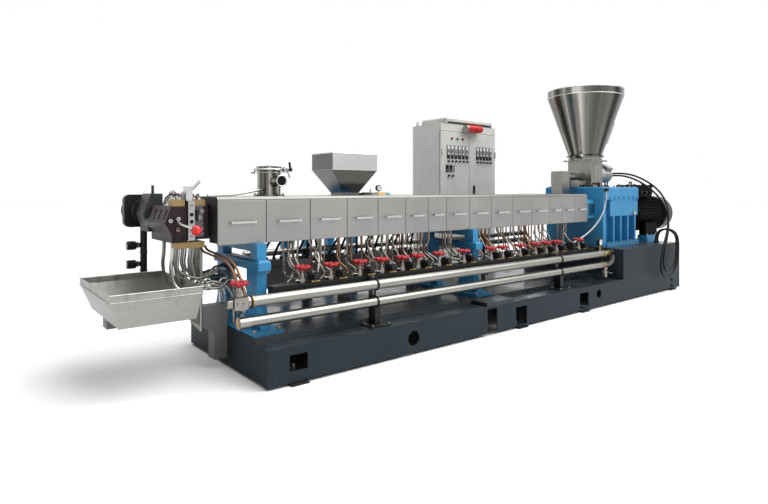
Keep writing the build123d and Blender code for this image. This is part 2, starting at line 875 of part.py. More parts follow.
def screen_changer():
    changer_x = (changer_start, changer_start + changer_length)
    changer_y = (die_back, die_back + changer_width)
    changer_z = (changer_bottom, changer_bottom + changer_height)
    outline = nosed_outline(changer_x, changer_z, changer_low_setback, changer_low_height,
                            changer_nose_height, changer_top_setback)
    housing = prism_y(changer_y, outline)
    pin_x = (changer_x[0] + changer_top_setback + changer_x[1]) / 2
    pin_z = (changer_z[1], changer_z[1] + changer_pin_height)
    housing += bar_z(pin_x, sum(changer_y) / 2, pin_z, changer_pin_radius)
    add("screen_changer", housing)

    ram_x = sum(changer_x) / 2
    ram_z = changer_z[1] - ram_axis_drop
    flange_start = changer_y[1] + ram_length
    flange_end = flange_start + ram_flange_thickness
    half = ram_flange_size / 2
    flange = block((ram_x - half, ram_x + half), (flange_start, flange_end), (ram_z - half, ram_z + half))
    ram = fillet(flange.edges().filter_by(Axis.Y), ram_flange_corner)
    ram += bar_y(ram_x, (changer_y[1], flange_start), ram_z, ram_radius)
    ram += bar_y(ram_x, (flange_end, flange_end + ram_cap_length), ram_z, ram_cap_radius)
    pipe_mid = changer_y[1] + manifold_pipe_gap
    bottom = changer_bottom - manifold_pipe_length
    ram += bar_z(ram_x, pipe_mid, (bottom, ram_z), manifold_pipe_radius)
    for share in coupling_height_shares:
        z = between(changer_bottom, bottom, share)
        ring = (ram_x - coupling_length * 2, ram_x - coupling_length)
        ram += bar_x((ring[1], ram_x), pipe_mid, z, coupling_neck_radius)
        ram += bar_x(ring, pipe_mid, z, coupling_radius)
    add("hydraulic_ram", ram)


# Strand tray at the die

def frustum(low_x, low_y, low_z, high_x, high_y, high_z):
    """Solid between two level rectangles."""
    faces = []
    for x, y, z in ((low_x, low_y, low_z), (high_x, high_y, high_z)):
        level = Plane((sum(x) / 2, sum(y) / 2, z))
        faces.append(level * Rectangle(x[1] - x[0], y[1] - y[0]))
    return loft(faces)


def grown(limits, amount):
    """Limits moved outwards by amount at both ends."""
    return (limits[0] - amount, limits[1] + amount)


def strand_tray():
    rim_x = (tray_rim_start, tray_rim_start + tray_rim_length)
    rim_front = centre_y - tray_front_reach
    rim_y = (rim_front, rim_front + tray_rim_width)
    fold_bottom = tray_rim_top - tray_rim_fold
    floor_start = rim_x[1] - tray_floor_length - tray_rim_fold / 2
    floor_x = (floor_start, floor_start + tray_floor_length)
    middle_y = (rim_y[0] + rim_y[1]) / 2
    floor_y = (middle_y - tray_floor_width / 2, middle_y + tray_floor_width / 2)
    body = frustum(floor_x, floor_y, tray_floor_z, rim_x, rim_y, fold_bottom)
    body += block(rim_x, rim_y, (fold_bottom, tray_rim_top))
    inner = frustum(grown(floor_x, -tray_sheet), grown(floor_y, -tray_sheet), tray_floor_z + tray_sheet,
                    grown(rim_x, -tray_sheet), grown(rim_y, -tray_sheet), fold_bottom + tray_sheet)
    inner += block(grown(rim_x, -tray_sheet), grown(rim_y, -tray_sheet),
                   (fold_bottom + tray_sheet, tray_rim_top + overrun))
    add("strand_tray", body - inner)

    arm_y = (centre_y - tray_arm_width / 2, centre_y + tray_arm_width / 2)
    arm = block((floor_x[0], 0), arm_y, (tray_floor_z - tray_arm_height, tray_floor_z))
    arm += block((-tray_post_length, 0), arm_y, (tray_post_bottom, tray_floor_z))
    brace = [
        (-tray_post_length, tray_floor_z - tray_arm_height), (-tray_post_length, ledge_top),
        (-tray_post_length - tray_brace_reach, tray_floor_z - tray_arm_height),
    ]
    arm += prism_y(arm_y, brace)
    add("tray_bracket", arm)


# Vent on the barrel

def vent():
    bottom = barrel_top
    top = bottom + vent_height
    outline = [
        (vent_radius - vent_wall, bottom), (vent_radius, bottom), (vent_radius, top - vent_flange_height),
        (vent_flange_radius, top - vent_flange_height), (vent_flange_radius, top),
        (vent_radius - vent_wall, top),
    ]
    stack = turned(vent_x, centre_y, outline)
    collar_low = lid_top + running_gap
    collar = [
        (vent_radius - vent_wall / 2, collar_low), (vent_collar_radius, collar_low),
        (vent_collar_radius, collar_low + vent_collar_height),
        (vent_radius - vent_wall / 2, collar_low + vent_collar_height),
    ]
    stack += turned(vent_x, centre_y, collar)
    height = between(lid_top, top, vent_branch_height_share)
    heading = (cos(radians(vent_branch_angle)), sin(radians(vent_branch_angle)), 0)
    plane = Plane((vent_x, centre_y, height), z_dir=heading)
    branch = extrude(plane * Circle(vent_branch_radius), vent_radius + vent_branch_length)
    end = plane.offset(vent_radius + vent_branch_length - vent_branch_flange_length)
    branch += extrude(end * Circle(vent_branch_flange_radius), vent_branch_flange_length)
    bore = extrude(plane * Circle(vent_branch_radius - vent_wall), vent_radius + vent_branch_length + overrun)
    inside = bar_z(vent_x, centre_y, (bottom, top), vent_radius - vent_wall)
    add("vent_stack", stack + (branch - inside) - bore)


# Side feeder behind the barrel

def side_feeder():
    panel_back = base_width - cover_front
    half = side_feeder_width / 2
    wide = (side_feeder_x - half, side_feeder_x + half)
    start = panel_back + running_gap
    end = start + side_feeder_length
    body_low = barrel_axis - side_feeder_body_height / 2
    body_high = barrel_axis + side_feeder_body_height / 2
    body = block(wide, (start, end), (body_low, body_high))
    flange_x = grown(wide, barrel_flange_rise)
    flange_z = (body_low, body_high + barrel_flange_rise)
    body += block(flange_x, (end - side_motor_flange, end), flange_z)
    add("side_feeder_body", body)

    motor = bar_y(side_feeder_x, (end, end + side_motor_length), barrel_axis, side_motor_radius)

    stand_start = side_feeder_x - side_stand_length / 2
    stand_end = side_feeder_x + side_stand_length / 2
    rear = (base_width + side_stand_leg, base_width + side_stand_leg + side_stand_width)
    stand = block((stand_start, stand_end), rear, (side_stand_top - side_stand_leg, side_stand_top))
    for x in (stand_start, stand_end - side_stand_leg):
        for y in (rear[0], rear[1] - side_stand_leg):
            stand += block((x, x + side_stand_leg), (y, y + side_stand_leg), (0, side_stand_top))
    stand += block(wide, rear, (side_stand_top, body_low))
    add("side_feeder_stand", stand)

    hopper_y = panel_back + side_hopper_width / 2 + side_stand_leg
    half_x = side_hopper_length / 2
    half_y = side_hopper_width / 2
    neck = side_hopper_neck / 2
    rim_x = (side_feeder_x - half_x, side_feeder_x + half_x)
    rim_y = (hopper_y - half_y, hopper_y + half_y)
    neck_x = (side_feeder_x - neck, side_feeder_x + neck)
    neck_y = (hopper_y - neck, hopper_y + neck)
    neck_top = body_high + side_hopper_neck_height
    band_low = side_hopper_top - side_hopper_band
    shape = block(neck_x, neck_y, (body_high, neck_top))
    shape += frustum(neck_x, neck_y, neck_top, rim_x, rim_y, band_low)
    shape += block(rim_x, rim_y, (band_low, side_hopper_top))
    sheet = -side_hopper_sheet
    inner = block(grown(neck_x, sheet), grown(neck_y, sheet), (body_high, neck_top))
    inner += frustum(grown(neck_x, sheet), grown(neck_y, sheet), neck_top,
                     grown(rim_x, sheet), grown(rim_y, sheet), band_low)
    inner += block(grown(rim_x, sheet), grown(rim_y, sheet), (band_low, side_hopper_top + overrun))
    add("side_hopper", shape - inner)

    axis = body_high + side_drive_axis_rise
    drive = bar_x((neck_x[1], neck_x[1] + side_drive_length), hopper_y, axis, side_drive_radius)
    add("side_feeder_drives", motor, drive)


# Control cabinet behind the machine

def cabinet_door(hinge_x, inward):
    """Door leaf with its pivot pins; inward is +1 where the leaf runs to +X of its hinge."""
    half = (cabinet_length - door_gap) / 2
    edge = hinge_x - inward * hinge_inset
    span = sorted((edge, edge + inward * half))
    low = cabinet_plinth_height + cabinet_floor + door_gap
    high = cabinet_header_bottom - door_gap
    leaf = block(span, (cabinet_front, cabinet_front + door_thickness), (low, high))
    leaf = chamfer(leaf.edges().group_by(Axis.Y)[0], door_edge)
    pin_y = cabinet_front + door_thickness / 2
    leaf += bar_z(hinge_x, pin_y, (low - hinge_pin_length, low), hinge_pin_radius)
    leaf += bar_z(hinge_x, pin_y, (high, high + hinge_pin_length), hinge_pin_radius)
    return leaf


def cabinet():
    box_front = cabinet_front + door_thickness + door_back_gap
    inner_low = cabinet_plinth_height + cabinet_floor
    inner_high = cabinet_height - cabinet_top_sheet
    ends = (cabinet_start, cabinet_end)
    deep = (cabinet_front, cabinet_back)
    hinges = (cabinet_start + hinge_inset, cabinet_end - hinge_inset)
    pin_y = cabinet_front + door_thickness / 2
    floor = block(ends, deep, (0, inner_low))
    header = block(ends, (cabinet_front, box_front), (cabinet_header_bottom, cabinet_height))
    header += block(ends, (box_front, cabinet_back), (inner_high, cabinet_height))
    for x in hinges:
        pin = hinge_pin_radius + running_gap
        floor -= bar_z(x, pin_y, (inner_low - hinge_pin_length, inner_low + overrun), pin)
        high = (cabinet_header_bottom - overrun, cabinet_header_bottom + hinge_pin_length)
        header -= bar_z(x, pin_y, high, pin)
    add("cabinet_base", floor)
    add("cabinet_top", header)

    cap_x = grown(ends, -roof_cap_inset)
    cap_y = (cabinet_front - roof_cap_front_reach, cabinet_back - roof_cap_inset)
    cap_top = cabinet_height + roof_cap_height
    roof = block(cap_x, cap_y, (cabinet_height, cap_top))
    roof = chamfer(roof.edges().group_by(Axis.Z)[-1], roof_cap_edge)
    slot_y = (cap_y[0] - overrun, cap_y[0] + roof_cap_slot_depth)
    slot_z = (cabinet_height, cabinet_height + roof_cap_slot_height)
    roof -= block(grown(cap_x, -roof_cap_edge), slot_y, slot_z)
    add("cabinet_roof", roof)

    tall = (inner_low, inner_high)
    shell = block(ends, (box_front, cabinet_back), tall)
    inner_y = (box_front - overrun, cabinet_back - cabinet_wall)
    add("cabinet_sides", shell - block(grown(ends, -cabinet_wall), inner_y, tall))
    add("cabinet_door_left", cabinet_door(hinges[0], 1))
    add("cabinet_door_right", cabinet_door(hinges[1], -1))

    start = between(cabinet_start, cabinet_end, beacon_share)
    lamp_start = start + beacon_base_length
    lamp_end = start + beacon_length
    y = cabinet_front - beacon_reach
    z = cabinet_height - cabinet_header_height / 2
    lamps = bar_x((lamp_start, lamp_end), y, z, beacon_radius)
    lamps = fillet(lamps.edges().group_by(Axis.X)[-1], beacon_radius / 2)
    middle = (lamp_start + lamp_end) / 2
    waist = (middle - beacon_waist_length / 2, middle + beacon_waist_length / 2)
    groove = bar_x(waist, y, z, beacon_radius + overrun)
    lamps -= groove - bar_x(waist, y, z, beacon_waist_radius)
    add("cabinet_beacon", lamps)
    base = bar_x((start, lamp_start), y, z, beacon_radius)
    base += bar_y(start + beacon_base_length / 2, (y, cabinet_front), z, beacon_post_radius)
    add("beacon_base", base)


# Gearbox and lantern

def gearbox():
    side = (gearbox_front, base_width - gearbox_front)
    core = grown(side, -gearbox_core_inset)
    foot_top = plinth_top + gearbox_foot_height
    wall = (gearbox_start, gearbox_start + gearbox_wall_length)
    housing = block(wall, side, (plinth_top, gearbox_body_top))
    housing += block((gearbox_start, gearbox_end), core, (plinth_top, gearbox_body_top))
    foot_x = (wall[1], gearbox_end + gearbox_foot_reach)
    housing += block(foot_x, grown(side, gearbox_foot_reach), (plinth_top, foot_top))
    band = block((gearbox_band_start, gearbox_end), side, (gearbox_band_bottom, gearbox_body_top))
    housing += band
    for share in gearbox_rib_shares:
        x = between(gearbox_start, gearbox_end, share)
        rib = (x - gearbox_rib_thickness / 2, x + gearbox_rib_thickness / 2)
        housing += block(rib, side, (foot_top, gearbox_band_bottom))
    add("gearbox_housing", housing)
    cover_x = grown((gearbox_start, gearbox_end), gearbox_cover_reach)
    cover = block(cover_x, grown(side, gearbox_cover_reach), (gearbox_body_top, gearbox_top))
    cover = chamfer(cover.edges().group_by(Axis.Z)[-1], gearbox_cover_chamfer)
    add("gearbox_cover", cover)
    eyes = []
    for share in lifting_eye_shares:
        x = between(gearbox_start, gearbox_end, share)
        for y in grown(side, -lifting_eye_foot):
            foot_high = gearbox_top + lifting_eye_bar
            eye = bar_z(x, y, (gearbox_top, foot_high), lifting_eye_foot)
            eyes.append(eye + Pos(x, y, foot_high + lifting_eye_radius) * Rot(90, 0, 0) * Torus(
                lifting_eye_radius, lifting_eye_bar))
    add("lifting_eyes", *eyes)


def lantern():
    half = lantern_width / 2
    span = (barrel_end, gearbox_start)
    tall = (lantern_bottom, lantern_bottom + lantern_height)
    add("lantern_housing", block(span, (centre_y - half, centre_y + half), tall))
    guard_y = (cover_front, centre_y - half)
    outline = [
        (guard_y[0], tall[0]), (guard_y[0] + guard_sheet, tall[0]),
        (guard_y[0] + guard_sheet, tall[1] - guard_bulge), (guard_y[0] + guard_bulge, tall[1] - guard_sheet),
        (guard_y[1], tall[1] - guard_sheet), (guard_y[1], tall[1]),
        (guard_y[0] + guard_bulge, tall[1]), (guard_y[0], tall[1] - guard_bulge),
    ]
    guard = prism_x(span, outline)
    middle_x = (span[0] + span[1]) / 2
    middle_z = (tall[0] + tall[1] - guard_bulge) / 2
    row_pitch = guard_hole_pitch * sin(radians(60))
    for row in range(guard_rows):
        shift = guard_hole_pitch / 2 * (row % 2)
        z = middle_z + (row - (guard_rows - 1) / 2) * row_pitch
        for column in range(guard_columns):
            start = middle_x - guard_hole_pitch / 4
            x = start + (column - (guard_columns - 1) / 2) * guard_hole_pitch + shift
            hole = Plane((x, guard_y[0] - overrun, z), z_dir=(0, 1, 0)) * RegularPolygon(guard_hole_radius, 6)
            guard -= extrude(hole, guard_sheet + 2 * overrun)
    add("lantern_guards", guard, rear_twin(guard))


# Main motor

def main_motor():
    bell = bar_x((gearbox_end, motor_start), motor_axis_y, motor_axis_height, motor_bell_radius)
    add("coupling_bell", bell)

    body = bar_x((motor_start, motor_end), motor_axis_y, motor_axis_height, motor_radius)
    fin_root = motor_radius - motor_fin_sink
    plane = Plane((motor_start, motor_axis_y, motor_axis_height), z_dir=(1, 0, 0))
    for number in range(motor_fin_count):
        turn = Rot(0, 0, 360 / motor_fin_count * (number + 1 / 2))
        reach = motor_radius + motor_fin_height - fin_root
        fin = Pos(fin_root + reach / 2, 0, 0) * Rectangle(reach, motor_fin_thickness)
        body += extrude(plane * (turn * fin), motor_length)
    foot_x = (motor_start + motor_foot_start, motor_start + motor_foot_start + motor_foot_length)
    rail_top = plinth_top + motor_rail_height
    for side in (-1, 1):
        y = motor_axis_y + side * motor_foot_span / 2
        feet = (y - motor_foot_width / 2, y + motor_foot_width / 2)
        body += block(foot_x, feet, (rail_top, motor_axis_height - motor_radius / 2))
    add("motor_body", body)

    rails = []
    for side in (-1, 1):
        y = motor_axis_y + side * motor_foot_span / 2
        wide = (y - motor_rail_width / 2, y + motor_rail_width / 2)
        start = foot_x[0] - (motor_rail_length - motor_foot_length) / 2
        rails.append(block((start, start + motor_rail_length), wide, (plinth_top, rail_top)))
    add("motor_rails", *rails)

    cowl = bar_x((motor_end, cowl_end), motor_axis_y, motor_axis_height, cowl_radius)
    cowl = chamfer(cowl.edges().group_by(Axis.X)[-1], cowl_chamfer)
    add("fan_cowl", cowl)

    box_x = (motor_start + terminal_box_start, motor_start + terminal_box_start + terminal_box_length)
    box_y = (motor_axis_y - terminal_box_width / 2, motor_axis_y + terminal_box_width / 2)
    box_low = motor_axis_height + motor_radius + motor_fin_height + running_gap
    box = block(box_x, box_y, (box_low, box_low + terminal_box_height))
    add("terminal_box", fillet(box.edges().filter_by(Axis.Z), terminal_box_corner))


# Main feeder

def main_feeder():
    throat_x = (throat_start, throat_start + throat_length)
    throat_y = (centre_y - throat_width / 2, centre_y + throat_width / 2)
    low = gearbox_top + feeder_foot_height
    high = gearbox_top + throat_height
    foot = block(grown(throat_x, feeder_foot_reach), grown(throat_y, feeder_foot_reach), (gearbox_top, low))
    throat = block(throat_x, throat_y, (low, high))
    throat = fillet(throat.edges().filter_by(Axis.Z), throat_corner)
    plate = block(grown(throat_x, throat_flange_reach), grown(throat_y, throat_flange_reach),
                  (high - throat_flange_thickness, high))
    add("feeder_throat", foot + throat + plate)

    x = sum(throat_x) / 2
    band_top = high + neck_band_height
    ring_top = band_top + hopper_ring_height
    cone_top = ring_top + hopper_cone_height
    rim_top = cone_top + hopper_rim_height
    outline = [
        (hopper_neck_radius - hopper_sheet, high), (hopper_neck_radius, high),
        (hopper_neck_radius, band_top), (hopper_ring_radius, band_top), (hopper_ring_radius, ring_top),
        (hopper_neck_radius, ring_top), (hopper_rim_radius, cone_top), (hopper_rim_radius, rim_top),
        (hopper_rim_radius - hopper_sheet, rim_top), (hopper_rim_radius - hopper_sheet, cone_top),
        (hopper_neck_radius - hopper_sheet, ring_top),
    ]
    add("feeder_hopper", turned(x, centre_y, outline))

    axis = between(gearbox_top, high, screw_tube_axis_share)
    chute_x = (chute_start, chute_start + chute_length)
    tube = bar_x((chute_x[1], throat_x[0]), centre_y, axis, screw_tube_radius)
    chute_y = (centre_y - chute_width / 2, centre_y + chute_width / 2)
    chute = block(chute_x, chute_y, (barrel_top, chute_top))
    inner = block(grown(chute_x, -chute_sheet), grown(chute_y, -chute_sheet),
                  (barrel_top - overrun, chute_top - chute_sheet))
    add("feed_chute", chute - inner + tube)

    motor_axis = between(gearbox_top, high, gear_motor_axis_share)
    ends = [throat_x[1], gear_motor_flange, gear_motor_body_length, gear_motor_drive_length]
    places = [sum(ends[:count]) for count in range(1, len(ends) + 1)]
    motor = bar_x(places[0:2], centre_y, motor_axis, gear_motor_flange_radius)
    motor += bar_x(places[1:3], centre_y, motor_axis, gear_motor_radius)
    motor += bar_x(places[2:4], centre_y, motor_axis, gear_motor_drive_radius)
    box_low = gear_motor_drive_radius - gear_motor_box_sink
    half_x = gear_motor_box_length / 2
    half_y = gear_motor_box_width / 2
    box = block((-half_x, half_x), (-half_y, half_y), (box_low, box_low + gear_motor_box_height))
    box_x = sum(places[2:4]) / 2
    motor += Pos(box_x, centre_y, motor_axis) * Rot(gear_motor_box_tilt, 0, 0) * box
    for route in (front_cable_route, rear_cable_route):
        x, y, z = route[0]
        motor += bar_x((places[3], x), y, z, cable_gland_radius)
    add("feeder_gear_motor", motor)


# Cables and hose

def cord_tube(name, route, diameter):
    """Round tube along straight runs, with each bend as large as its two runs allow."""
    points = [Vector(*point) for point in route]
    radii = []
    for before, corner, after in zip(points, points[1:], points[2:]):
        turn = (corner - before).get_angle(after - corner)
        shorter = min((corner - before).length, (after - corner).length)
        radii.append(cord_bend_share * shorter / tan(radians(turn / 2)))
    print(name, "bend radii in diameters:", [round(radius / diameter, 1) for radius in radii])
    path = FilletPolyline(*points, radius=radii)
    tube = sweep(Plane(points[0], z_dir=points[1] - points[0]) * Circle(diameter / 2), path=path)
    print(name, "volume over section times length:", tube.volume / (pi * diameter ** 2 / 4 * path.length))
    add(name, tube)


def cables_and_hose():
    cord_tube("feeder_cable_front", front_cable_route, cable_diameter)
    cord_tube("feeder_cable_rear", rear_cable_route, cable_diameter)
    cord_tube("gearbox_hose", hose_route, hose_diameter)
    ends = [route[-1] for route in (front_cable_route, rear_cable_route)]
    glands = [bar_z(x, y, (plinth_top, z), cable_gland_radius) for x, y, z in ends]
    half = hose_fitting_size / 2
    x, y, z = hose_route[0]
    outlet_y = (y - half, gearbox_front - gearbox_cover_reach)
    outlet = block((x - half, x + half), outlet_y, (z, z + hose_fitting_size))
    x, y, z = hose_route[-1]
    inlet = block((x - hose_fitting_size, x), (trunk_middle, y + half), (trunk_top, z + half))
    add("cord_fittings", *glands, outlet, inlet)


# Cooling water

def water_pipe(start, end, y, z, radius):
    """Steel pipe along X with a closed end."""
    pipe = bar_x((start, end), y, z, radius)
    return pipe - bar_x((start + pipe_wall, end + overrun), y, z, radius - pipe_wall)


def pipe_stand(x):
    """Stand with straps round both pipes and an arm to the trunk."""
    plate_x = (x - stand_plate_length / 2, x + stand_plate_length / 2)
    foot_x = (x - stand_foot_length / 2, x + stand_foot_length / 2)
    foot_top = ledge_top + stand_foot_height
    stand = block(foot_x, (stand_foot_front, ledge_width), (ledge_top, foot_top))
    back = pipe_y + pipe_radius + running_gap
    stand += block(plate_x, (back, back + stand_plate_thickness), (foot_top, trunk_top))
    stand += block(plate_x, (back + stand_plate_thickness, trunk_front),
                   (trunk_bottom, trunk_bottom + trunk_height / 2))
    post_x = (x - stand_post_length / 2, x + stand_post_length / 2)
    post_top = lower_pipe_z - pipe_radius - running_gap
    stand += block(post_x, (pipe_y - stand_post_length / 2, back), (foot_top, post_top))
    for z in (upper_pipe_z, lower_pipe_z):
        width = (x - strap_width / 2, x + strap_width / 2)
        ring = bar_x(width, pipe_y, z, pipe_radius + running_gap + strap_thickness)
        ring -= bar_x(grown(width, overrun), pipe_y, z, pipe_radius + running_gap)
        stand += ring
    return stand


def handwheel():
    """Lobed valve wheel about its own axis."""
    ring = Torus(handwheel_radius - handwheel_rim_radius, handwheel_rim_radius)
    wheel = ring + extrude(Circle(handwheel_hub_radius), handwheel_hub_height / 2, both=True)
    for number in range(handwheel_spokes):
        spoke = Pos(handwheel_radius / 2, 0, 0) * Box(
            handwheel_radius - handwheel_rim_radius, handwheel_rim_radius, handwheel_rim_radius)
        wheel += Rot(0, 0, 360 / handwheel_spokes * number) * spoke
    return wheel


def riser(x, start, level, shift):
    """Tube that leaves a valve to the rear, bends up and ends under the cover."""
    top = cover_bottom + rail_margin
    y_top = cover_front + panel_depth + rail_width + riser_bend
    points = [(x, start, level), (x, y_top, level), (x + shift, y_top, top)]
    path = FilletPolyline(*points, radius=riser_corner_radius)
    return sweep(Plane(points[0], z_dir=(0, 1, 0)) * Circle(riser_radius), path=path)


def cooling_water():
    upper = water_pipe(upper_pipe_start, pipes_end, pipe_y, upper_pipe_z, pipe_radius)
    lower = water_pipe(lower_pipe_start, pipes_end, pipe_y, lower_pipe_z, pipe_radius)
    rear_y = base_width - rear_pipe_inset
    rear = [water_pipe(rear_pipe_start, rear_pipe_end, rear_y, z, rear_pipe_radius)
            for z in rear_pipe_heights]
    add("water_pipes", upper, lower, *rear)
    places = [base_length * share for share in stand_shares]
    add("pipe_stands", *[pipe_stand(x) for x in places], *[rear_pipe_stand(x, rear_y) for x in places])
    trunk_y = (trunk_front, trunk_front + trunk_width)
    trunk = block((trunk_start, trunk_end), trunk_y, (trunk_bottom, trunk_top))
    add("valve_trunk", trunk)
    bodies = []
    wheels = []
    solenoids = []
    tubes = []
    wheel = handwheel()
    for number, share in enumerate(valve_shares):
        x = between(trunk_start, trunk_end, share)
        top = handwheel_z - handwheel_hub_height / 2
        neck = trunk_top + valve_body_height + valve_rise
        body = bar_z(x, trunk_middle, (trunk_top, trunk_top + valve_body_height), valve_body_radius)
        body += bar_z(x, trunk_middle, (trunk_top, neck), valve_bonnet_radius)
        body += bar_z(x, trunk_middle, (neck, top), valve_bonnet_radius / 2)
        bodies.append(body)
        wheels.append(Pos(x, trunk_middle, handwheel_z) * wheel)
        middle = x + solenoid_offset
        half = solenoid_size / 2
        ends = (middle - half, middle + half)
        solenoids.append(block(ends, (trunk_middle - half, trunk_middle + half),
                               (trunk_top, trunk_top + solenoid_height)))
        level = trunk_top + solenoid_height / 2
        for side in (-1, 1):
            tubes.append(riser(middle + side * riser_spacing / 2, trunk_middle + half, level, side * riser_shift))
        tubes.append(riser(x, trunk_middle + valve_body_radius, trunk_top + valve_body_height / 2, -riser_shift))
    add("solenoid_valves", *solenoids)
    add("riser_tubes", *tubes)

    half = main_valve_height / 2
    valve_x = (upper_pipe_start - main_valve_length, upper_pipe_start)
    body = block(valve_x, (pipe_y - half, pipe_y + half), (upper_pipe_z - half, upper_pipe_z + half))
    middle = sum(valve_x) / 2
    body_top = upper_pipe_z + half
    body += bar_z(middle, pipe_y, (body_top, body_top + main_valve_stem), valve_bonnet_radius)
    wheel_z = body_top + main_valve_stem + handwheel_hub_height / 2
    add("water_valves", *bodies, body)
    add("valve_handwheels", *wheels, Pos(middle, pipe_y, wheel_z) * wheel)


def rear_pipe_stand(x, y):
    """Upright plate behind the machine with straps round the rear pipes."""
    plate_x = (x - stand_plate_length / 2, x + stand_plate_length / 2)
    back = y - rear_pipe_radius - running_gap
    top = rear_pipe_heights[-1] + rear_pipe_radius
    front = base_width - bed_edge - stand_plate_length
    rear = base_width - bed_edge
    stand = block(plate_x, (front, rear), (bed_top, bed_top + stand_foot_height))
    stand += block(plate_x, (rear - stand_plate_thickness, rear), (bed_top, top))
    for z in rear_pipe_heights:
        arm_z = (z - rear_pipe_radius / 2, z + rear_pipe_radius / 2)
        stand += block(plate_x, (rear - stand_plate_thickness, back), arm_z)
        width = (x - strap_width / 2, x + strap_width / 2)
        ring = bar_x(width, y, z, rear_pipe_radius + running_gap + strap_thickness)
        stand += ring - bar_x(grown(width, overrun), y, z, rear_pipe_radius + running_gap)
    return stand


def rear_trunk():
    """Closed cable trunk on short legs behind the barrel."""
    trunk_x = (rear_trunk_start, rear_trunk_start + rear_trunk_length)
    front = base_width - rear_trunk_inset
    trunk_y = (front, front + rear_trunk_width)
    trunk = block(trunk_x, trunk_y, (rear_trunk_bottom, rear_trunk_bottom + rear_trunk_height))
    for share in rear_trunk_leg_shares:
        x = between(trunk_x[0], trunk_x[1] - rear_trunk_leg, share)
        trunk += block((x, x + rear_trunk_leg), trunk_y, (bed_top, rear_trunk_bottom))
    add("rear_cable_trunk", trunk)


def main():
    base_frame()
    levelling_feet()
    barrel_and_cover()
    die_head()
    screen_changer()
    strand_tray()
    vent()
    side_feeder()
    cabinet()
    gearbox()
    lantern()
    main_motor()
    main_feeder()
    cables_and_hose()
    cooling_water()
    rear_trunk()
    os.makedirs("parts", exist_ok=True)
    to_origin = Pos(-origin_x, -origin_y, 0)
    for name, shapes in nodes.items():
        solids = [solid for shape in shapes for solid in (to_origin * shape).solids()]
        export_step(Compound(children=solids) if len(solids) > 1 else solids[0], f"parts/{name}.step")


main()
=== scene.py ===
"""Finishes and small pieces of a parallel twin-screw extruder, laid out as an add-on.

Lengths in the code are millimetres from the die-end front corner of the base, on the floor,
with +X to the drive end, +Y to the rear and +Z up. at() turns them into the frame's metres.
"""
import random
from math import cos, radians, sin

import bpy
from bpy.props import FloatProperty, FloatVectorProperty, IntProperty, PointerProperty
from bpy.types import Operator, Panel, PropertyGroup
from mathutils import Matrix, Vector


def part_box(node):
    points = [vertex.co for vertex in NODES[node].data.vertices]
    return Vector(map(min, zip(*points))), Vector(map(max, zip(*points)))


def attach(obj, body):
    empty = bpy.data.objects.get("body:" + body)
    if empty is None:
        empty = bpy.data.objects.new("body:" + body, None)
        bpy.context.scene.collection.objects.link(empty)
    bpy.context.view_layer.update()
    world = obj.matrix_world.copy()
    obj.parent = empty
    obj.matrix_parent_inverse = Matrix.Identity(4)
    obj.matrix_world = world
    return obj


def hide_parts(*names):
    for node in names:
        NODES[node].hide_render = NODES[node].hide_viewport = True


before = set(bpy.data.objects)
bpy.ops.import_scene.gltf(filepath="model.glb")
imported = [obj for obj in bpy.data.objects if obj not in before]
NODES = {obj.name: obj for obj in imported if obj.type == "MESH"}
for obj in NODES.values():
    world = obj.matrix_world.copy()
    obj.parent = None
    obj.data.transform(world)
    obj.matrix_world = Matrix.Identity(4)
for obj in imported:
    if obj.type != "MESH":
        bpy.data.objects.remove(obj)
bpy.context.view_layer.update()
CORNER = Vector(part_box("base_front_plate")[0])

bl_info = {
    "name": "Twin-screw extruder finishes",
    "version": (1, 0, 0),
    "blender": (4, 5, 0),
    "location": "3D View > Sidebar > Extruder",
    "description": "Finishes, fittings and studio for a parallel twin-screw extruder",
    "category": "Object",
}


# Places and sizes

def at(x, y, z):
    """Place in metres of a point in millimetres from the base's corner on the floor."""
    return Vector((CORNER.x + x / 1000, CORNER.y + y / 1000, z / 1000))


def limits(node):
    """Lowest and highest corner of a CAD node, in the same millimetres that at() takes."""
    low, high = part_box(node)
    shift = Vector((CORNER.x, CORNER.y, 0))
    return (Vector(low) - shift) * 1000, (Vector(high) - shift) * 1000


def colours():
    """Colours as the user has set them."""
    return bpy.context.scene.extruder_colours


def sizes():
    """Sizes as the user has set them."""
    return bpy.context.scene.extruder_sizes


class ExtruderColours(PropertyGroup):
    """Paints and plastics that a user may want in another colour."""
    base_paint: FloatVectorProperty(
        name="Base paint", description="Slate paint of the base frame", subtype="COLOR",
        default=(0.023, 0.032, 0.040), min=0, max=1)
    machine_blue: FloatVectorProperty(
        name="Machine blue", description="Paint of gearbox, supports and side feeder", subtype="COLOR",
        default=(0.046, 0.260, 0.495), min=0, max=1)
    handwheel_red: FloatVectorProperty(
        name="Handwheel red", description="Enamel of the valve wheels", subtype="COLOR",
        default=(0.430, 0.010, 0.020), min=0, max=1)
    ball_red: FloatVectorProperty(
        name="Ball red", description="Plastic of the ball on the die lever", subtype="COLOR",
        default=(0.720, 0.016, 0.014), min=0, max=1)
    cabinet_grey: FloatVectorProperty(
        name="Cabinet grey", description="Powder coat of the control cabinet", subtype="COLOR",
        default=(0.590, 0.600, 0.570), min=0, max=1)
    cowl_green: FloatVectorProperty(
        name="Fan cowl", description="Grey-green paint of the motor's fan cowl", subtype="COLOR",
        default=(0.028, 0.034, 0.033), min=0, max=1)


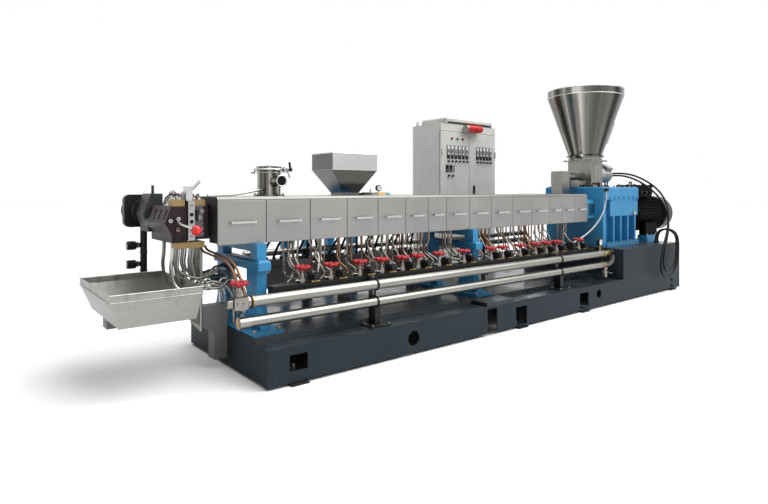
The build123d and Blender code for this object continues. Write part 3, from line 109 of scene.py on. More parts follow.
class ExtruderSizes(PropertyGroup):
    """Sizes of the fittings that scene pieces are made from."""
    small_bolt: FloatProperty(
        name="Small bolt", description="Width in millimetres of the hexagon heads on the vent's and "
        "side feeder's flanges and the cabinet's plinth", default=16, min=6, max=40)
    large_bolt: FloatProperty(
        name="Large bolt", description="Width in millimetres of the hexagon heads on the gearbox's "
        "and barrel supports' feet", default=30, min=10, max=60)
    instrument_width: FloatProperty(
        name="Instrument width", description="Width of a panel instrument in millimetres",
        default=48, min=24, max=96)
    tube_sides: IntProperty(
        name="Tube sides", description="Sides of a bent tube", default=12, min=6, max=32)


# Shader maths and finishes

def maths(operation, reflected=False):
    """An operator method that adds one Math node."""
    def method(self, other):
        first, second = (other, self) if reflected else (self, other)
        return self.graph.node("ShaderNodeMath", {"operation": operation}, {0: first, 1: second}, 0)
    return method


class Value:
    """A shader socket that Python's own operators add Math nodes to."""
    __add__ = maths("ADD")
    __radd__ = maths("ADD", True)
    __sub__ = maths("SUBTRACT")
    __rsub__ = maths("SUBTRACT", True)
    __mul__ = maths("MULTIPLY")
    __rmul__ = maths("MULTIPLY", True)

    def __init__(self, graph, socket):
        self.graph = graph
        self.socket = socket


class Graph:
    """The nodes of a material or of the world."""

    def __init__(self, tree):
        self.tree = tree

    def node(self, kind, settings, sockets, output):
        """Adds a node, sets it up, fills its sockets and returns one of its outputs."""
        made = self.tree.nodes.new(kind)
        for key, setting in settings.items():
            if key == "stops":
                ramp = made.color_ramp
                while len(ramp.elements) < len(setting):
                    ramp.elements.new(1)
                for element, (position, colour) in zip(ramp.elements, setting):
                    element.position = position
                    element.color = (*colour, 1)
            elif key == "interpolation":
                made.color_ramp.interpolation = setting
            else:
                setattr(made, key, setting)
        for key, given in sockets.items():
            if isinstance(given, Value):
                self.tree.links.new(given.socket, made.inputs[key])
            else:
                made.inputs[key].default_value = given
        return Value(self, made.outputs[output])


class Finish(Graph):
    """A material whose patterns lie on the piece's own Object coordinates."""

    def __init__(self, name, colour, roughness, metallic=0.0, specular=0.5):
        self.material = bpy.data.materials.new(name)
        self.material.use_nodes = True
        super().__init__(self.material.node_tree)
        self.shader = self.tree.nodes["Principled BSDF"]
        self.set("Base Color", (*colour, 1))
        self.set("Roughness", roughness)
        self.set("Metallic", metallic)
        self.set("Specular IOR Level", specular)
        self.place = self.node("ShaderNodeTexCoord", {}, {}, "Object")

    def set(self, socket, given):
        """Gives one of the shader's sockets a value or a link."""
        if isinstance(given, Value):
            self.tree.links.new(given.socket, self.shader.inputs[socket])
        else:
            self.shader.inputs[socket].default_value = given

    def stretched(self, scale, location=(0, 0, 0)):
        """Object coordinates moved and stretched along the axes."""
        sockets = {"Vector": self.place, "Scale": scale, "Location": location}
        return self.node("ShaderNodeMapping", {"vector_type": "POINT"}, sockets, "Vector")

    def noise(self, scale, detail=3.0, stretch=(1, 1, 1), roughness=0.55):
        """Clouds on the Object coordinates, stretched along the axes."""
        sockets = {"Vector": self.stretched(stretch), "Scale": scale, "Detail": detail,
                   "Roughness": roughness}
        return self.node("ShaderNodeTexNoise", {}, sockets, 0)

    def band(self, value, low, high, start=0.0, end=1.0):
        """Smooth step of a value between two limits."""
        sockets = {"Value": value, "From Min": low, "From Max": high, "To Min": start, "To Max": end}
        return self.node("ShaderNodeMapRange", {"interpolation_type": "SMOOTHSTEP"}, sockets, 0)

    def blend(self, factor, first, second):
        """Colour between two colours."""
        first = first if isinstance(first, Value) else (*first, 1)
        second = second if isinstance(second, Value) else (*second, 1)
        return self.node("ShaderNodeMix", {"data_type": "RGBA"}, {0: factor, 6: first, 7: second}, 2)

    def axis(self, name):
        """One of the Object coordinates, in metres."""
        return self.node("ShaderNodeSeparateXYZ", {}, {0: self.place}, name)

    def facing(self, name):
        """One part of the surface's normal."""
        normal = self.node("ShaderNodeNewGeometry", {}, {}, "Normal")
        return self.node("ShaderNodeSeparateXYZ", {}, {0: normal}, name)

    def base_tone(self):
        """What feeds the shader's colour so far."""
        return Value(self, self.shader.inputs["Base Color"].links[0].from_socket)

    def bump(self, height, strength, distance):
        """Fine relief of the surface."""
        sockets = {"Height": height, "Strength": strength, "Distance": distance}
        self.set("Normal", self.node("ShaderNodeBump", {}, sockets, 0))


def shade(colour, factor):
    """A colour made darker or lighter."""
    return tuple(min(1, part * factor) for part in colour)


def painted(name, colour, roughness, grime=0.25, dust=0.10, chips=0.0, specular=0.4):
    """Machine paint: mottled, with orange peel, grime that has run down and dust on top faces."""
    finish = Finish(name, colour, roughness, 0.0, specular)
    mottle = finish.noise(3.5, 4)
    tone = finish.blend(mottle, shade(colour, 0.84), shade(colour, 1.16))
    runs = finish.band(finish.noise(9, 5, (1, 1, 0.18)), 0.52, 0.78) * grime
    tone = finish.blend(runs, tone, shade(colour, 0.38))
    settled = finish.band(finish.facing("Z"), 0.5, 1.0) * finish.band(finish.noise(6, 5), 0.35, 0.75) * dust
    tone = finish.blend(settled, tone, (0.42, 0.40, 0.37))
    if chips:
        worn = finish.band(finish.noise(38, 2), 0.74 - chips * 0.1, 0.76)
        tone = finish.blend(worn, tone, shade(colour, 0.30))
    finish.set("Base Color", tone)
    finish.set("Roughness", roughness + (finish.noise(14, 4) - 0.5) * 0.22 + settled * 0.4)
    finish.bump(finish.noise(420, 2), 0.10, 0.0006)
    return finish


def brushed(name, colour, roughness, stretch, stain=0.2, streak=0.12):
    """Stainless sheet with a grinding grain along one axis, soft clouds and handling stains."""
    finish = Finish(name, colour, roughness, 1.0)
    clouds = finish.noise(2.2, 4)
    tone = finish.blend(clouds, shade(colour, 0.86), shade(colour, 1.14))
    grain = finish.noise(60, 3, stretch)
    tone = finish.blend(finish.band(grain, 0.35, 0.65) * streak, tone, shade(colour, 0.55))
    stains = finish.band(finish.noise(5, 6, roughness=0.7), 0.56, 0.80) * stain
    tone = finish.blend(stains, tone, shade(colour, 0.45))
    finish.set("Base Color", tone)
    finish.set("Roughness", roughness + (grain - 0.5) * 0.20 + (clouds - 0.5) * 0.16)
    finish.bump(finish.noise(160, 2, stretch), 0.08, 0.0005)
    return finish


def cover_sheet(name, colour):
    """Barrel cover steel: each panel a little lighter or darker than the next, and painted light that makes
    it lighter towards the top.
    """
    finish = brushed(name, colour, 0.40, (1, 1, 0.04), 0.10, 0.06)
    low, high = limits("cover_panels")
    start, end = at(*low), at(*high)
    along = finish.band(finish.axis("X"), start.x, end.x)
    tones = (0.47, 0.52, 0.49, 0.53, 0.50, 0.47, 0.51, 0.48, 0.53, 0.49, 0.52, 0.50, 0.47, 0.51, 0.50)
    stops = [(index / len(tones), (tone, tone, tone)) for index, tone in enumerate(tones)]
    step = finish.node("ShaderNodeValToRGB", {"stops": stops, "interpolation": "CONSTANT"}, {0: along}, 0)
    # painted light: the panels grow lighter towards the top, as if lit from above
    lift = finish.band(finish.axis("Z"), start.z, end.z, 0.0, 0.22)
    tone = finish.blend(0.30, finish.base_tone(), step)
    finish.set("Base Color", finish.blend(lift, tone, shade(colour, 1.45)))
    return finish


def tray_sheet(name, colour):
    """Tray steel, stained, with drips below the rim and patchy painted shade on the faces inside."""
    finish = brushed(name, colour, 0.38, (0.05, 1, 1), 0.75, 0.12)
    rim = at(*limits("strand_tray")[1]).z
    below = finish.band(finish.axis("Z"), rim - 0.012, rim - 0.03)
    # painted shade: the inside faces that look up, below the rim, are darkened in patches
    inside_painted_shade = finish.band(finish.facing("Z"), 0.02, 0.30) * below * (finish.noise(4, 5) * 0.7 - 0.1)
    tone = finish.blend(inside_painted_shade, finish.base_tone(), shade(colour, 0.22))
    drips = finish.band(finish.noise(11, 6, (1, 1, 0.22), 0.65), 0.46, 0.70)
    drips = drips * finish.band(finish.axis("Z"), rim - 0.16, rim - 0.03) * 0.55
    finish.set("Base Color", finish.blend(drips, tone, (0.150, 0.118, 0.085)))
    return finish


def cast(name, colour, roughness, metallic, grain, depth, specular=0.4):
    """Cast or heat-browned metal with a pitted skin."""
    finish = Finish(name, colour, roughness, metallic, specular)
    patches = finish.noise(7, 5)
    tone = finish.blend(patches, shade(colour, 0.68), shade(colour, 1.36))
    finish.set("Base Color", tone)
    finish.set("Roughness", roughness + (finish.noise(24, 3) - 0.5) * 0.30)
    finish.bump(finish.noise(grain, 3), 0.30, depth)
    return finish


def bright(name, colour, roughness):
    """Plated or polished metal with faint clouding and fine scratches."""
    finish = Finish(name, colour, roughness, 1.0)
    clouds = finish.noise(30, 4)
    finish.set("Base Color", finish.blend(clouds, shade(colour, 0.72), shade(colour, 1.10)))
    finish.set("Roughness", roughness + (finish.noise(180, 2) - 0.5) * 0.16)
    return finish


def moulded(name, colour, roughness, specular=0.35):
    """Moulded plastic or rubber with a fine skin."""
    finish = Finish(name, colour, roughness, 0.0, specular)
    clouds = finish.noise(45, 3)
    finish.set("Base Color", finish.blend(clouds, shade(colour, 0.78), shade(colour, 1.22)))
    finish.set("Roughness", roughness + (finish.noise(120, 2) - 0.5) * 0.14)
    finish.bump(finish.noise(700, 2), 0.12, 0.0004)
    return finish


def riser_metal(name):
    """Tubes of two metals side by side: some nickel, some copper that has browned."""
    finish = Finish(name, (0.5, 0.45, 0.4), 0.32, 1.0)
    strip = finish.node("ShaderNodeMath", {"operation": "FLOOR"}, {0: finish.axis("X") * 31}, 0)
    pick = finish.node("ShaderNodeTexWhiteNoise", {"noise_dimensions": "1D"}, {"W": strip}, 0)
    copper = finish.band(pick, 0.42, 0.46)
    browned = finish.noise(16, 4, (1, 1, 0.4))
    nickel = finish.blend(browned, (0.20, 0.185, 0.165), (0.44, 0.41, 0.365))
    brown = finish.blend(browned, (0.09, 0.046, 0.026), (0.32, 0.175, 0.10))
    finish.set("Base Color", finish.blend(copper, nickel, brown))
    finish.set("Roughness", 0.26 + browned * 0.20)
    return finish


def reflection_streaked_sheet(name, axis, colour, coarse, fine):
    """Polished sheet with painted reflections: broad and narrow soft light and dark streaks that run down
    round an upright axis.
    """
    finish = Finish(name, colour, 0.24, 1.0)
    middle = at(*axis, 0)
    centred = finish.stretched((1, 1, 1), (-middle.x, -middle.y, 0))
    split = [finish.node("ShaderNodeSeparateXYZ", {}, {0: centred}, part) for part in ("X", "Y")]
    angle = finish.node("ShaderNodeMath", {"operation": "ARCTAN2"}, {0: split[1], 1: split[0]}, 0)
    broad, narrow = [
        finish.node("ShaderNodeTexNoise", {"noise_dimensions": "1D"},
                    {"W": angle + shift, "Scale": scale, "Detail": detail}, 0)
        for shift, scale, detail in ((3.7, coarse, 1.0), (1.2, fine, 2.0))]
    # painted reflections: dark and bright streaks set by the angle round the axis
    stops = [(0.36, shade(colour, 0.22)), (0.46, shade(colour, 0.75)), (0.54, shade(colour, 1.20)),
             (0.63, shade(colour, 3.4))]
    tone = finish.node("ShaderNodeValToRGB", {"stops": stops}, {0: broad}, 0)
    tone = finish.blend(finish.band(narrow, 0.52, 0.80) * 0.45, tone, shade(colour, 0.40))
    stains = finish.band(finish.noise(6, 5), 0.50, 0.80) * 0.25
    finish.set("Base Color", finish.blend(stains, tone, shade(colour, 0.60)))
    finish.set("Roughness", 0.14 + finish.noise(8, 4) * 0.14)
    return finish


def glossy_deck(name, colour):
    """Base paint on the deck: glossy where it is clean, dull where dust and oil have settled."""
    finish = painted(name, colour, 0.30, 0.2, 0.10, 0.0, 0.30)
    clean = finish.band(finish.noise(2.0, 5), 0.40, 0.62)
    finish.set("Roughness", 0.34 - clean * 0.20 + finish.noise(20, 4) * 0.10)
    finish.set("Coat Weight", clean * 0.25)
    return finish


# Lines, axes and places that several groups share
CENTRE_LINE = 700
PIPE_LINE = 120
PIPE_VALVE = -144
SIDE_LINE = 1260
UPPER_PIPE = (0, PIPE_LINE, 572)
LOWER_PIPE = (0, PIPE_LINE, 440)
VENT_AXIS = (366, CENTRE_LINE)
HOPPER_AXIS = tuple(sum(limits("feeder_hopper"), Vector()) / 2)[:2]


def make_finishes():
    """All finishes by name."""
    paint = colours()
    made = {
        "base": painted("slate_paint", paint.base_paint, 0.42, 0.25, 0.10, 0.3, 0.10),
        "deck": glossy_deck("slate_deck", shade(paint.base_paint, 0.75)),
        "blue": painted("machine_blue", paint.machine_blue, 0.36, 0.30, 0.05, 0.2, 0.22),
        "red": painted("handwheel_enamel", paint.handwheel_red, 0.28, 0.40, 0.05, 0.5, 0.4),
        "ball": moulded("red_ball_grip", paint.ball_red, 0.16, 0.5),
        "cabinet": painted("cabinet_coat", paint.cabinet_grey, 0.46, 0.08, 0.05, 0.0, 0.35),
        "cowl": painted("cowl_paint", paint.cowl_green, 0.36, 0.20, 0.10, 0.0, 0.25),
        "grey": painted("grey_trunk_paint", (0.150, 0.150, 0.145), 0.44, 0.25, 0.10, 0.0, 0.3),
        "black": painted("black_paint", (0.010, 0.011, 0.012), 0.36, 0.10, 0.06, 0.0, 0.25),
        "motor": cast("motor_black", (0.0022, 0.0028, 0.0034), 0.50, 0.0, 260, 0.0010, 0.03),
        "gunmetal": cast("gunmetal", (0.040, 0.045, 0.048), 0.44, 0.30, 200, 0.0012, 0.25),
        "die": cast("heat_browned_steel", (0.027, 0.017, 0.019), 0.40, 0.30, 180, 0.0010, 0.18),
        "socket": cast("socket_steel", (0.110, 0.100, 0.120), 0.36, 0.85, 120, 0.0006, 0.4),
        "cover": cover_sheet("cover_steel", (0.252, 0.249, 0.234)),
        "lid": brushed("lid_steel", (0.225, 0.221, 0.207), 0.42, (0.04, 1, 1), 0.22, 0.10),
        "frame": cast("dark_frame_steel", (0.050, 0.044, 0.042), 0.50, 0.4, 120, 0.0008, 0.3),
        "pipe": brushed("pipe_steel", (0.320, 0.312, 0.288), 0.30, (0.03, 1, 1), 0.65, 0.30),
        "tray": tray_sheet("tray_steel", (0.385, 0.385, 0.365)),
        "sheet": brushed("feeder_steel", (0.290, 0.280, 0.258), 0.28, (1, 1, 0.05), 0.45, 0.20),
        # vent and hopper steel carry painted reflections in streaks
        "vent": reflection_streaked_sheet("vent_steel", VENT_AXIS, (0.170, 0.163, 0.146), 2.6, 14.0),
        "hopper": reflection_streaked_sheet("hopper_steel", HOPPER_AXIS, (0.175, 0.170, 0.158), 1.7, 9.0),
        "cone": brushed("side_cone_steel", (0.150, 0.150, 0.147), 0.20, (1, 1, 0.05), 0.50, 0.25),
        "ground": brushed("ground_steel", (0.44, 0.435, 0.43), 0.30, (1, 1, 0.06), 0.30, 0.16),
        "bright": bright("bright_steel", (0.66, 0.66, 0.65), 0.20),
        "zinc": bright("zinc_plate", (0.36, 0.355, 0.33), 0.34),
        "nickel": bright("nickel_plate", (0.34, 0.325, 0.295), 0.28),
        "brass": bright("yellow_brass", (0.44, 0.30, 0.11), 0.32),
        "gold": cast("gold_heater_plate", (0.31, 0.220, 0.098), 0.42, 0.9, 90, 0.0008),
        "copper": bright("browned_copper", (0.225, 0.115, 0.064), 0.36),
        "aluminium": cast("cast_aluminium", (0.36, 0.365, 0.36), 0.44, 0.85, 240, 0.0010),
        "risers": riser_metal("riser_tubes"),
        "tube": bright("dulled_tube", (0.235, 0.212, 0.185), 0.36),
        "plastic": moulded("black_plastic", (0.014, 0.014, 0.015), 0.42, 0.25),
        "rubber": moulded("cable_sheath", (0.008, 0.008, 0.009), 0.46, 0.20),
        "hose": moulded("pale_hose", (0.60, 0.59, 0.54), 0.34),
        "lens": moulded("red_lens", (0.62, 0.010, 0.012), 0.12),
        "green": moulded("green_lens", (0.010, 0.20, 0.10), 0.18),
        "white": moulded("white_plastic", (0.84, 0.84, 0.82), 0.36),
        "face": moulded("grey_face", (0.32, 0.33, 0.32), 0.40),
        "display": moulded("pale_display", (0.60, 0.61, 0.60), 0.30),
        "yellow": moulded("yellow_plastic", (0.55, 0.33, 0.03), 0.38),
        "teal": moulded("teal_plastic", (0.03, 0.22, 0.34), 0.38),
        "panel": painted("white_panel", (0.56, 0.57, 0.58), 0.34, 0.04, 0.05),
        # dark: painted shade in holes, sockets and openings, and the real black of pointers, display windows
        # and keys
        "dark": moulded("hollow_shade_and_black_parts", (0.006, 0.006, 0.007), 0.60, 0.1),
    }
    return {name: finish.material for name, finish in made.items()}


NODE_FINISHES = {
    "base": ("base_front_plate", "base_rear_plate", "base_end_plates"),
    "deck": ("base_decks",),
    "zinc": ("levelling_feet", "beacon_base"),
    "blue": ("barrel_supports", "side_feeder_body", "side_feeder_stand", "gearbox_housing", "gearbox_cover",
             "lantern_housing", "lantern_guards", "motor_rails"),
    "frame": ("barrel", "cover_frame"),
    "cover": ("cover_panels",),
    "lid": ("cover_lid",),
    "bright": ("panel_handles", "die_levers"),
    "die": ("die_block",),
    "socket": ("die_adaptor",),
    "ground": ("die_clamp_bar",),
    "ball": ("lever_ball",),
    "vent": ("vent_stack",),
    "cone": ("side_hopper",),
    "gold": ("die_heater_plates",),
    "gunmetal": ("screen_changer",),
    "black": ("hydraulic_ram", "pipe_stands", "valve_trunk", "lifting_eyes"),
    "tray": ("strand_tray",),
    "sheet": ("feeder_throat", "feed_chute"),
    "hopper": ("feeder_hopper",),
    "cabinet": ("cabinet_base", "cabinet_roof", "cabinet_sides", "cabinet_top", "cabinet_door_left",
                "cabinet_door_right"),
    "lens": ("cabinet_beacon",),
    "motor": ("coupling_bell", "motor_body", "terminal_box", "side_feeder_drives"),
    "cowl": ("fan_cowl",),
    "aluminium": ("feeder_gear_motor",),
    "pipe": ("water_pipes",),
    "plastic": ("solenoid_valves", "cord_fittings"),
    "risers": ("riser_tubes",),
    "nickel": ("water_valves",),
    "red": ("valve_handwheels",),
    "grey": ("rear_cable_trunk", "tray_bracket"),
    "rubber": ("feeder_cable_front", "feeder_cable_rear"),
    "hose": ("gearbox_hose",),
}
FINISHES = {}


# Modelling by operators

UP = (0, 0, 1)
TO_FRONT = (0, -1, 0)
TO_REAR = (0, 1, 0)
TO_DRIVE = (1, 0, 0)
TO_DIE = (-1, 0, 0)


def deselect():
    """Leaves nothing selected."""
    bpy.ops.object.select_all(action="DESELECT")


def settle():
    """Puts the active part's place, turn and size into its mesh."""
    bpy.ops.object.transform_apply(location=True, rotation=True, scale=True)
    return bpy.context.object


def edit(step):
    """Runs an edit-mode step on the active part."""
    bpy.ops.object.mode_set(mode="EDIT")
    step()
    bpy.ops.object.mode_set(mode="OBJECT")


def bevel_all(width, segments=2):
    """Rounds every edge of the active part by a width in millimetres."""
    def step():
        bpy.ops.mesh.select_all(action="SELECT")
        bpy.ops.mesh.bevel(offset=width / 1000, segments=segments, affect="EDGES")
    edit(step)


def coat(part, finish):
    """Gives a part one finish all over."""
    part.data.materials.clear()
    part.data.materials.append(FINISHES[finish])
    return part


def block(low, high, finish, edge=2.0):
    """Block between two corners with rounded edges."""
    low, high = at(*low), at(*high)
    deselect()
    bpy.ops.mesh.primitive_cube_add(size=1, location=(low + high) / 2, scale=high - low)
    part = settle()
    if edge:
        bevel_all(edge)
    return coat(part, finish)


def bezel(low, high, finish, rim, depth):
    """Block whose front face, towards -Y, is set back inside a rim."""
    part = block(low, high, finish, 0)

    def clear():
        bpy.ops.mesh.select_all(action="DESELECT")
        bpy.ops.mesh.select_mode(type="FACE")
    edit(clear)
    for face in part.data.polygons:
        face.select = face.normal.y < -0.9

    def sink():
        bpy.ops.mesh.inset(thickness=rim / 1000)
        bpy.ops.mesh.extrude_region_move(TRANSFORM_OT_translate={"value": (0, depth / 1000, 0)})
    edit(sink)
    return part


def rod(start, end, radius, finish, sides=20, edge=0.0, end_radius=None):
    """Round bar or cone between two points, with its ends rounded by edge."""
    start, end = at(*start), at(*end)
    span = end - start
    turn = span.to_track_quat("Z", "Y").to_euler()
    deselect()
    far = radius if end_radius is None else end_radius
    bpy.ops.mesh.primitive_cone_add(
        vertices=sides, radius1=radius / 1000, radius2=far / 1000, depth=span.length,
        location=(start + end) / 2, rotation=turn)
    part = settle()
    if edge:
        def step():
            bpy.ops.mesh.select_all(action="DESELECT")
            bpy.ops.mesh.select_face_by_sides(number=4, type="GREATER")
            bpy.ops.mesh.region_to_loop()
            bpy.ops.mesh.bevel(offset=edge / 1000, segments=2, affect="EDGES")
        edit(step)
    bpy.ops.object.shade_smooth_by_angle(angle=radians(40))
    return coat(part, finish)


def hoop(middle, axis, radius, thickness, finish, sides=28, section=8):
    """Ring about an axis."""
    turn = Vector(axis).to_track_quat("Z", "Y").to_euler()
    deselect()
    bpy.ops.mesh.primitive_torus_add(
        major_segments=sides, minor_segments=section, location=at(*middle), rotation=turn,
        major_radius=radius / 1000, minor_radius=thickness / 1000)
    part = settle()
    bpy.ops.object.shade_smooth_by_angle(angle=radians(60))
    return coat(part, finish)


def ball(middle, radius, finish, squeeze=(1, 1, 1), sides=20):
    """Ball, or an egg where squeeze differs along the axes."""
    deselect()
    bpy.ops.mesh.primitive_uv_sphere_add(
        segments=sides, ring_count=sides // 2, radius=radius / 1000, location=at(*middle), scale=squeeze)
    part = settle()
    bpy.ops.object.shade_smooth_by_angle(angle=radians(60))
    return coat(part, finish)


def smooth_line(name, points, radius, steps, rounds):
    """Curve with a round section on one smooth line through the run of points."""
    curve = bpy.data.curves.new(name, "CURVE")
    curve.dimensions = "3D"
    spline = curve.splines.new("NURBS")
    spline.points.add(len(points) - 1)
    for point, place in zip(spline.points, points):
        point.co = (*at(*place), 1)
    spline.order_u = 3
    spline.use_endpoint_u = True
    spline.resolution_u = steps
    curve.bevel_depth = radius / 1000
    curve.bevel_resolution = rounds
    curve.use_fill_caps = True
    line = bpy.data.objects.new(name, curve)
    bpy.context.collection.objects.link(line)
    return line


def bent_tube(points, radius, finish):
    """Rigid tube along a smooth line through the run of points."""
    line = smooth_line("tube", points, radius, 5, max(1, sizes().tube_sides // 4 - 1))
    deselect()
    line.select_set(True)
    bpy.context.view_layer.objects.active = line
    bpy.ops.object.convert(target="MESH")
    bpy.ops.object.shade_smooth_by_angle(angle=radians(50))
    return coat(bpy.context.object, finish)


def blocks(origin, rows):
    """Blocks counted from an origin; a row is the low corner, the high corner, finish and edge."""
    origin = Vector(origin)
    return [block(origin + Vector(low), origin + Vector(high), *look) for low, high, *look in rows]


def rods(origin, rows):
    """Rods counted from an origin; a row is start, end, radius, finish, sides and edge."""
    origin = Vector(origin)
    return [rod(origin + Vector(start), origin + Vector(end), *look) for start, end, *look in rows]


def turned(origin, axis, rows):
    """Rods in line on an axis; a row is where it starts and ends, radius, finish, sides and edge."""
    axis = Vector(axis)
    return rods(origin, [(axis * start, axis * end, *look) for start, end, *look in rows])


def rings(origin, axis, rows):
    """Rings in line on an axis; a row is where it sits, radius, thickness, finish, sides and section."""
    origin, axis = Vector(origin), Vector(axis)
    return [hoop(origin + axis * place, axis, *look) for place, *look in rows]


def rim_rods(low, high, rows):
    """Rods along the four sides of a box; a row is their height, radius, finish and sides."""
    corners = ((low.x, low.y), (high.x, low.y), (high.x, high.y), (low.x, high.y))
    sides = zip(corners, corners[1:] + corners[:1])
    return [rod((*start, z), (*end, z), *look) for start, end in sides for z, *look in rows]


def copies(model, moves):
    """Copies of a list of parts, each with its own mesh, moved by millimetres."""
    made = []
    for move in moves:
        for part in model:
            twin = part.copy()
            twin.data = part.data.copy()
            twin.data.transform(Matrix.Translation(Vector(move) / 1000))
            bpy.context.collection.objects.link(twin)
            made.append(twin)
    return made


def remove(parts):
    """Deletes parts that only served as a model."""
    for part in parts:
        bpy.data.objects.remove(part)


def repeated(model, first, places):
    """A model made at first, repeated at all places; the model itself is not kept."""
    made = copies(model, [Vector(place) - Vector(first) for place in places])
    remove(model)
    return made


def bolts(places, axis, width, finish="zinc"):
    """Hexagon heads with washers that stand out of a face along an axis."""
    washer, top = width * 0.12, width * 0.62
    model = turned(places[0], axis, [
        (0, washer, width * 0.66, finish, 14), (washer, top, width * 0.5, finish, 6, width * 0.05)])
    return repeated(model, places[0], places)


def socket_screws(places, axis, width, finish="black"):
    """Cylinder heads with a dark disc of painted shade in the socket."""
    model = turned(places[0], axis, [
        (0, width * 0.6, width * 0.5, finish, 16, width * 0.06),
        # painted shade: a dark disc stands for the socket's hollow
        (width * 0.58, width * 0.63, width * 0.24, "dark", 6)])
    return repeated(model, places[0], places)


def piece(name, parts, body="machine"):
    """Joins parts into one piece that rides on a body."""
    deselect()
    for part in parts:
        part.select_set(True)
    bpy.context.view_layer.objects.active = parts[0]
    if len(parts) > 1:
        bpy.ops.object.join()
    whole = bpy.context.object
    whole.name = name
    whole.data.name = name
    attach(whole, body)
    return whole


def grid(xs, ys, zs, origin=(0, 0, 0)):
    """Every place whose coordinates, counted from an origin, come from three lists."""
    return [Vector(origin) + Vector((x, y, z)) for x in xs for y in ys for z in zs]


def spokes(axis, count, first=0.0):
    """Directions evenly spread round the axis X, Y or Z, from a first angle in degrees."""
    ways = []
    for number in range(count):
        turn = radians(first + 360 * number / count)
        way = [cos(turn), sin(turn)]
        way.insert("XYZ".index(axis), 0)
        ways.append(Vector(way))
    return ways


def around(middle, axis, radius, count, first=0.0):
    """Places evenly spread round an axis."""
    return [Vector(middle) + way * radius for way in spokes(axis, count, first)]


def row(start, end, count):
    """Places evenly spread from start to end."""
    start, end = Vector(start), Vector(end)
    return [start.lerp(end, index / (count - 1)) for index in range(count)]


# Operators, one for each group of pieces

class EXTRUDER_OT_finishes(Operator):
    """Give every CAD node its finish"""
    bl_idname = "extruder.finishes"
    bl_label = "Finishes"

    def execute(self, context):
        FINISHES.update(make_finishes())
        for finish, names in NODE_FINISHES.items():
            for name in names:
                coat(NODES[name], finish)
        return {"FINISHED"}


FRONT_CABLE = (
    (5493, 662, 1535), (5575, 662, 1535), (5660, 610, 1540), (5727, 498, 1524), (5770, 362, 1466),
    (5792, 222, 1374), (5790, 100, 1250), (5745, 10, 1095), (5660, -42, 930), (5550, -66, 765),
    (5440, -74, 610), (5365, -75, 465), (5355, -75, 325), (5425, -75, 228), (5540, -75, 195),
    (5665, -75, 220), (5775, -75, 300), (5840, -75, 420), (5862, -74, 560), (5850, -72, 720),
    (5840, 0, 792), (5826, 100, 794), (5814, 172, 724), (5814, 172, 630),
)
REAR_CABLE = (
    (5493, 742, 1500), (5580, 742, 1500), (5675, 690, 1512), (5755, 588, 1504), (5812, 460, 1450),
    (5844, 335, 1368), (5842, 205, 1260), (5808, 88, 1132), (5738, 4, 985), (5645, -46, 830),
    (5545, -68, 685), (5458, -76, 550), (5420, -77, 418), (5458, -77, 315), (5548, -77, 268),
    (5650, -77, 282), (5738, -77, 350), (5788, -77, 450), (5804, -75, 572), (5795, -72, 722),
    (5784, 0, 790), (5768, 100, 792), (5756, 171, 722), (5756, 171, 630),
)
OIL_HOSE = (
    (4690, 272, 1290), (4690, 272, 1212), (4670, 275, 1130), (4632, 280, 1045), (4575, 288, 965),
    (4498, 297, 893), (4405, 307, 830), (4300, 317, 777), (4190, 326, 735), (4088, 332, 704),
    (4030, 334, 688), (3975, 334, 688),
)


def cord(node, route, diameter, finish):
    """Free cable or hose on one smooth line, in place of its plain CAD tube."""
    line = coat(smooth_line(node + "_line", route, diameter / 2, 8, 4), finish)
    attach(line, "machine")
    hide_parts(node)


class EXTRUDER_OT_cords(Operator):
    """Two feeder cables and the gearbox's oil hose"""
    bl_idname = "extruder.cords"
    bl_label = "Cables and hose"

    def execute(self, context):
        cord("feeder_cable_front", FRONT_CABLE, 24, "rubber")
        cord("feeder_cable_rear", REAR_CABLE, 24, "rubber")
        cord("gearbox_hose", OIL_HOSE, 16, "hose")
        return {"FINISHED"}


